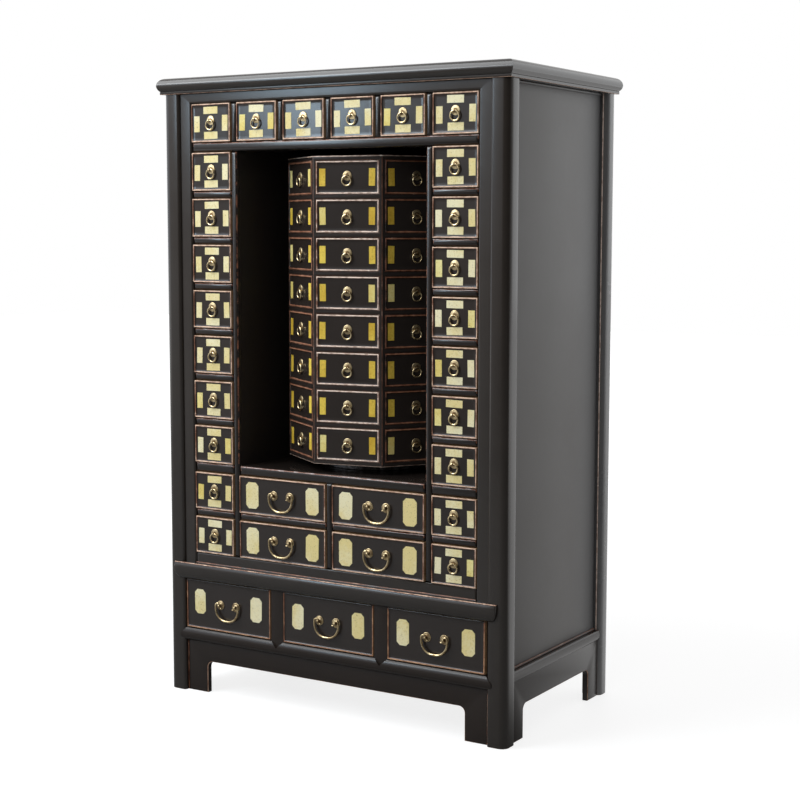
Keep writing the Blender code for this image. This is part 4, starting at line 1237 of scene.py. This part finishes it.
def paintFloor():
    # pale floor that keeps the shadow; white to the camera, and in gloss as the photo's floor shows there
    look = stageLook
    made, tree, shader = newMaterial("paleFloor")
    place = placeOf(tree)
    tone = mixNode(tree, noiseNode(tree, place, look["mottleScale"]), (look["floor"],) * 3,
                   (look["floor"] * look["mottle"],) * 3)
    camera, mirror = raysOf(tree)
    spot = axesOf(tree, place)
    reach = addNode(tree, "ShaderNodeVectorMath", {"operation": "LENGTH"}, Vector=place).outputs["Value"]
    behind = mathNode(tree, "MULTIPLY", rampNode(tree, spot["Y"], *look["glossY"]), look["gloss"])
    slant = mathNode(tree, "DIVIDE", spot["X"], spot["Y"])
    wide = mathNode(tree, "MULTIPLY_ADD", rampNode(tree, slant, *look["sideSlant"]), look["sideSheen"],
                    rampNode(tree, slant, *look["sheenSlant"]))
    far = mathNode(tree, "MULTIPLY", rampNode(tree, reach, *look["sheenReach"]), wide)
    glow = mathNode(tree, "MULTIPLY_ADD", far, look["sheen"], behind)  # far is the window's light
    white = rampNode(tree, reach, *look["liftReach"])
    white = mathNode(tree, "MULTIPLY_ADD", white, look["liftFar"], look["lift"])
    lift = mathNode(tree, "MULTIPLY_ADD", camera, white, mathNode(tree, "MULTIPLY", mirror, glow))
    feedAll(tree, shader, {"Base Color": tone, "Roughness": look["rough"],
                           "Specular IOR Level": look["specular"],
                           "Emission Color": look["white"], "Emission Strength": lift})
    return made


def buildStage():
    look = stageLook
    data = bpy.data.meshes.new("floor")
    shape = bmesh.new()
    bmesh.ops.create_grid(shape, x_segments=1, y_segments=1, size=look["size"])
    shape.to_mesh(data)
    shape.free()
    data.materials.append(paintFloor())
    floor = putInScene("floor", data)
    world = bpy.data.worlds.new("studio")
    bpy.context.scene.world = world
    world.use_nodes = True
    tree = world.node_tree
    camera, mirror = raysOf(tree)
    towards = axesOf(tree, placeOf(tree, "Generated"))
    room = mixNode(tree, rampNode(tree, towards["Z"], *look["topZ"]), look["roomHigh"], look["roomTop"])
    room = mixNode(tree, rampNode(tree, towards["Z"], *look["wallZ"]), look["roomLow"], room)
    room = mixNode(tree, rampNode(tree, towards["X"], *look["leftX"]), room, look["roomLeft"])
    room = mixNode(tree, rampNode(tree, towards["X"], *look["rightX"]), room, look["roomRight"])
    room = mixNode(tree, rampNode(tree, towards["Y"], *look["backY"]), room, look["white"])
    # gloss shows white behind the cabinet and a dimmer room before it
    light = mixNode(tree, mirror, (look["world"],) * 3, room)
    tree.links.new(mixNode(tree, camera, light, look["white"]), tree.nodes["Background"].inputs["Color"])


lampLook = (  # name, place, aim, size, watts, colour
    ("topSoftbox", (-1.6, -1.7, 3.4), (0, 0, 0.9), (2.4, 2.8), 104, (0.95, 0.98, 1.0)),
    ("leftWindow", (-2.33, -3.55, 2.27), (0, 0, 1.2), (0.55, 1.3), 18, (0.62, 0.83, 1.0)),
    ("bandLight", (-2.25, -3.6, 2.95), (0, -0.28, 1.0), (2.6, 0.8), 40, (0.93, 0.97, 1.0)),
    ("frontFill", (1.2, -4.6, 3.6), (0.2, 0, 0.9), (1.6, 1.2), 14, (1.0, 0.98, 0.95)),
    ("backGlow", (3.4, 4.6, 2.6), (0.5, 0, 0.9), (6.0, 4.0), 62, (0.95, 0.98, 1.0)),
)


def buildLamps():
    for name, spot, aim, size, watts, colour in lampLook:
        lamp = bpy.data.lights.new(name, "AREA")
        lamp.shape = "RECTANGLE"
        lamp.size, lamp.size_y = size
        lamp.energy = watts
        lamp.color = colour
        holder = putInScene(name, lamp)
        holder.location = spot
        holder.rotation_euler = (Vector(aim) - Vector(spot)).to_track_quat("-Z", "Y").to_euler()


cameraLook = {"place": (2.2555, -3.5950, 1.2285), "turn": (83.912, -0.07, 31.705),
              "lens": 73.37, "sensor": 36}


def buildCamera():
    data = bpy.data.cameras.new("photoCamera")
    data.lens = cameraLook["lens"]
    data.sensor_width = cameraLook["sensor"]
    holder = putInScene("photoCamera", data)
    holder.location = cameraLook["place"]
    holder.rotation_euler = [math.radians(angle) for angle in cameraLook["turn"]]
    bpy.context.scene.camera = holder
    bpy.context.scene.view_settings.view_transform = "Standard"


buildStage()
buildLamps()
buildCamera()
bpy.context.view_layer.update()
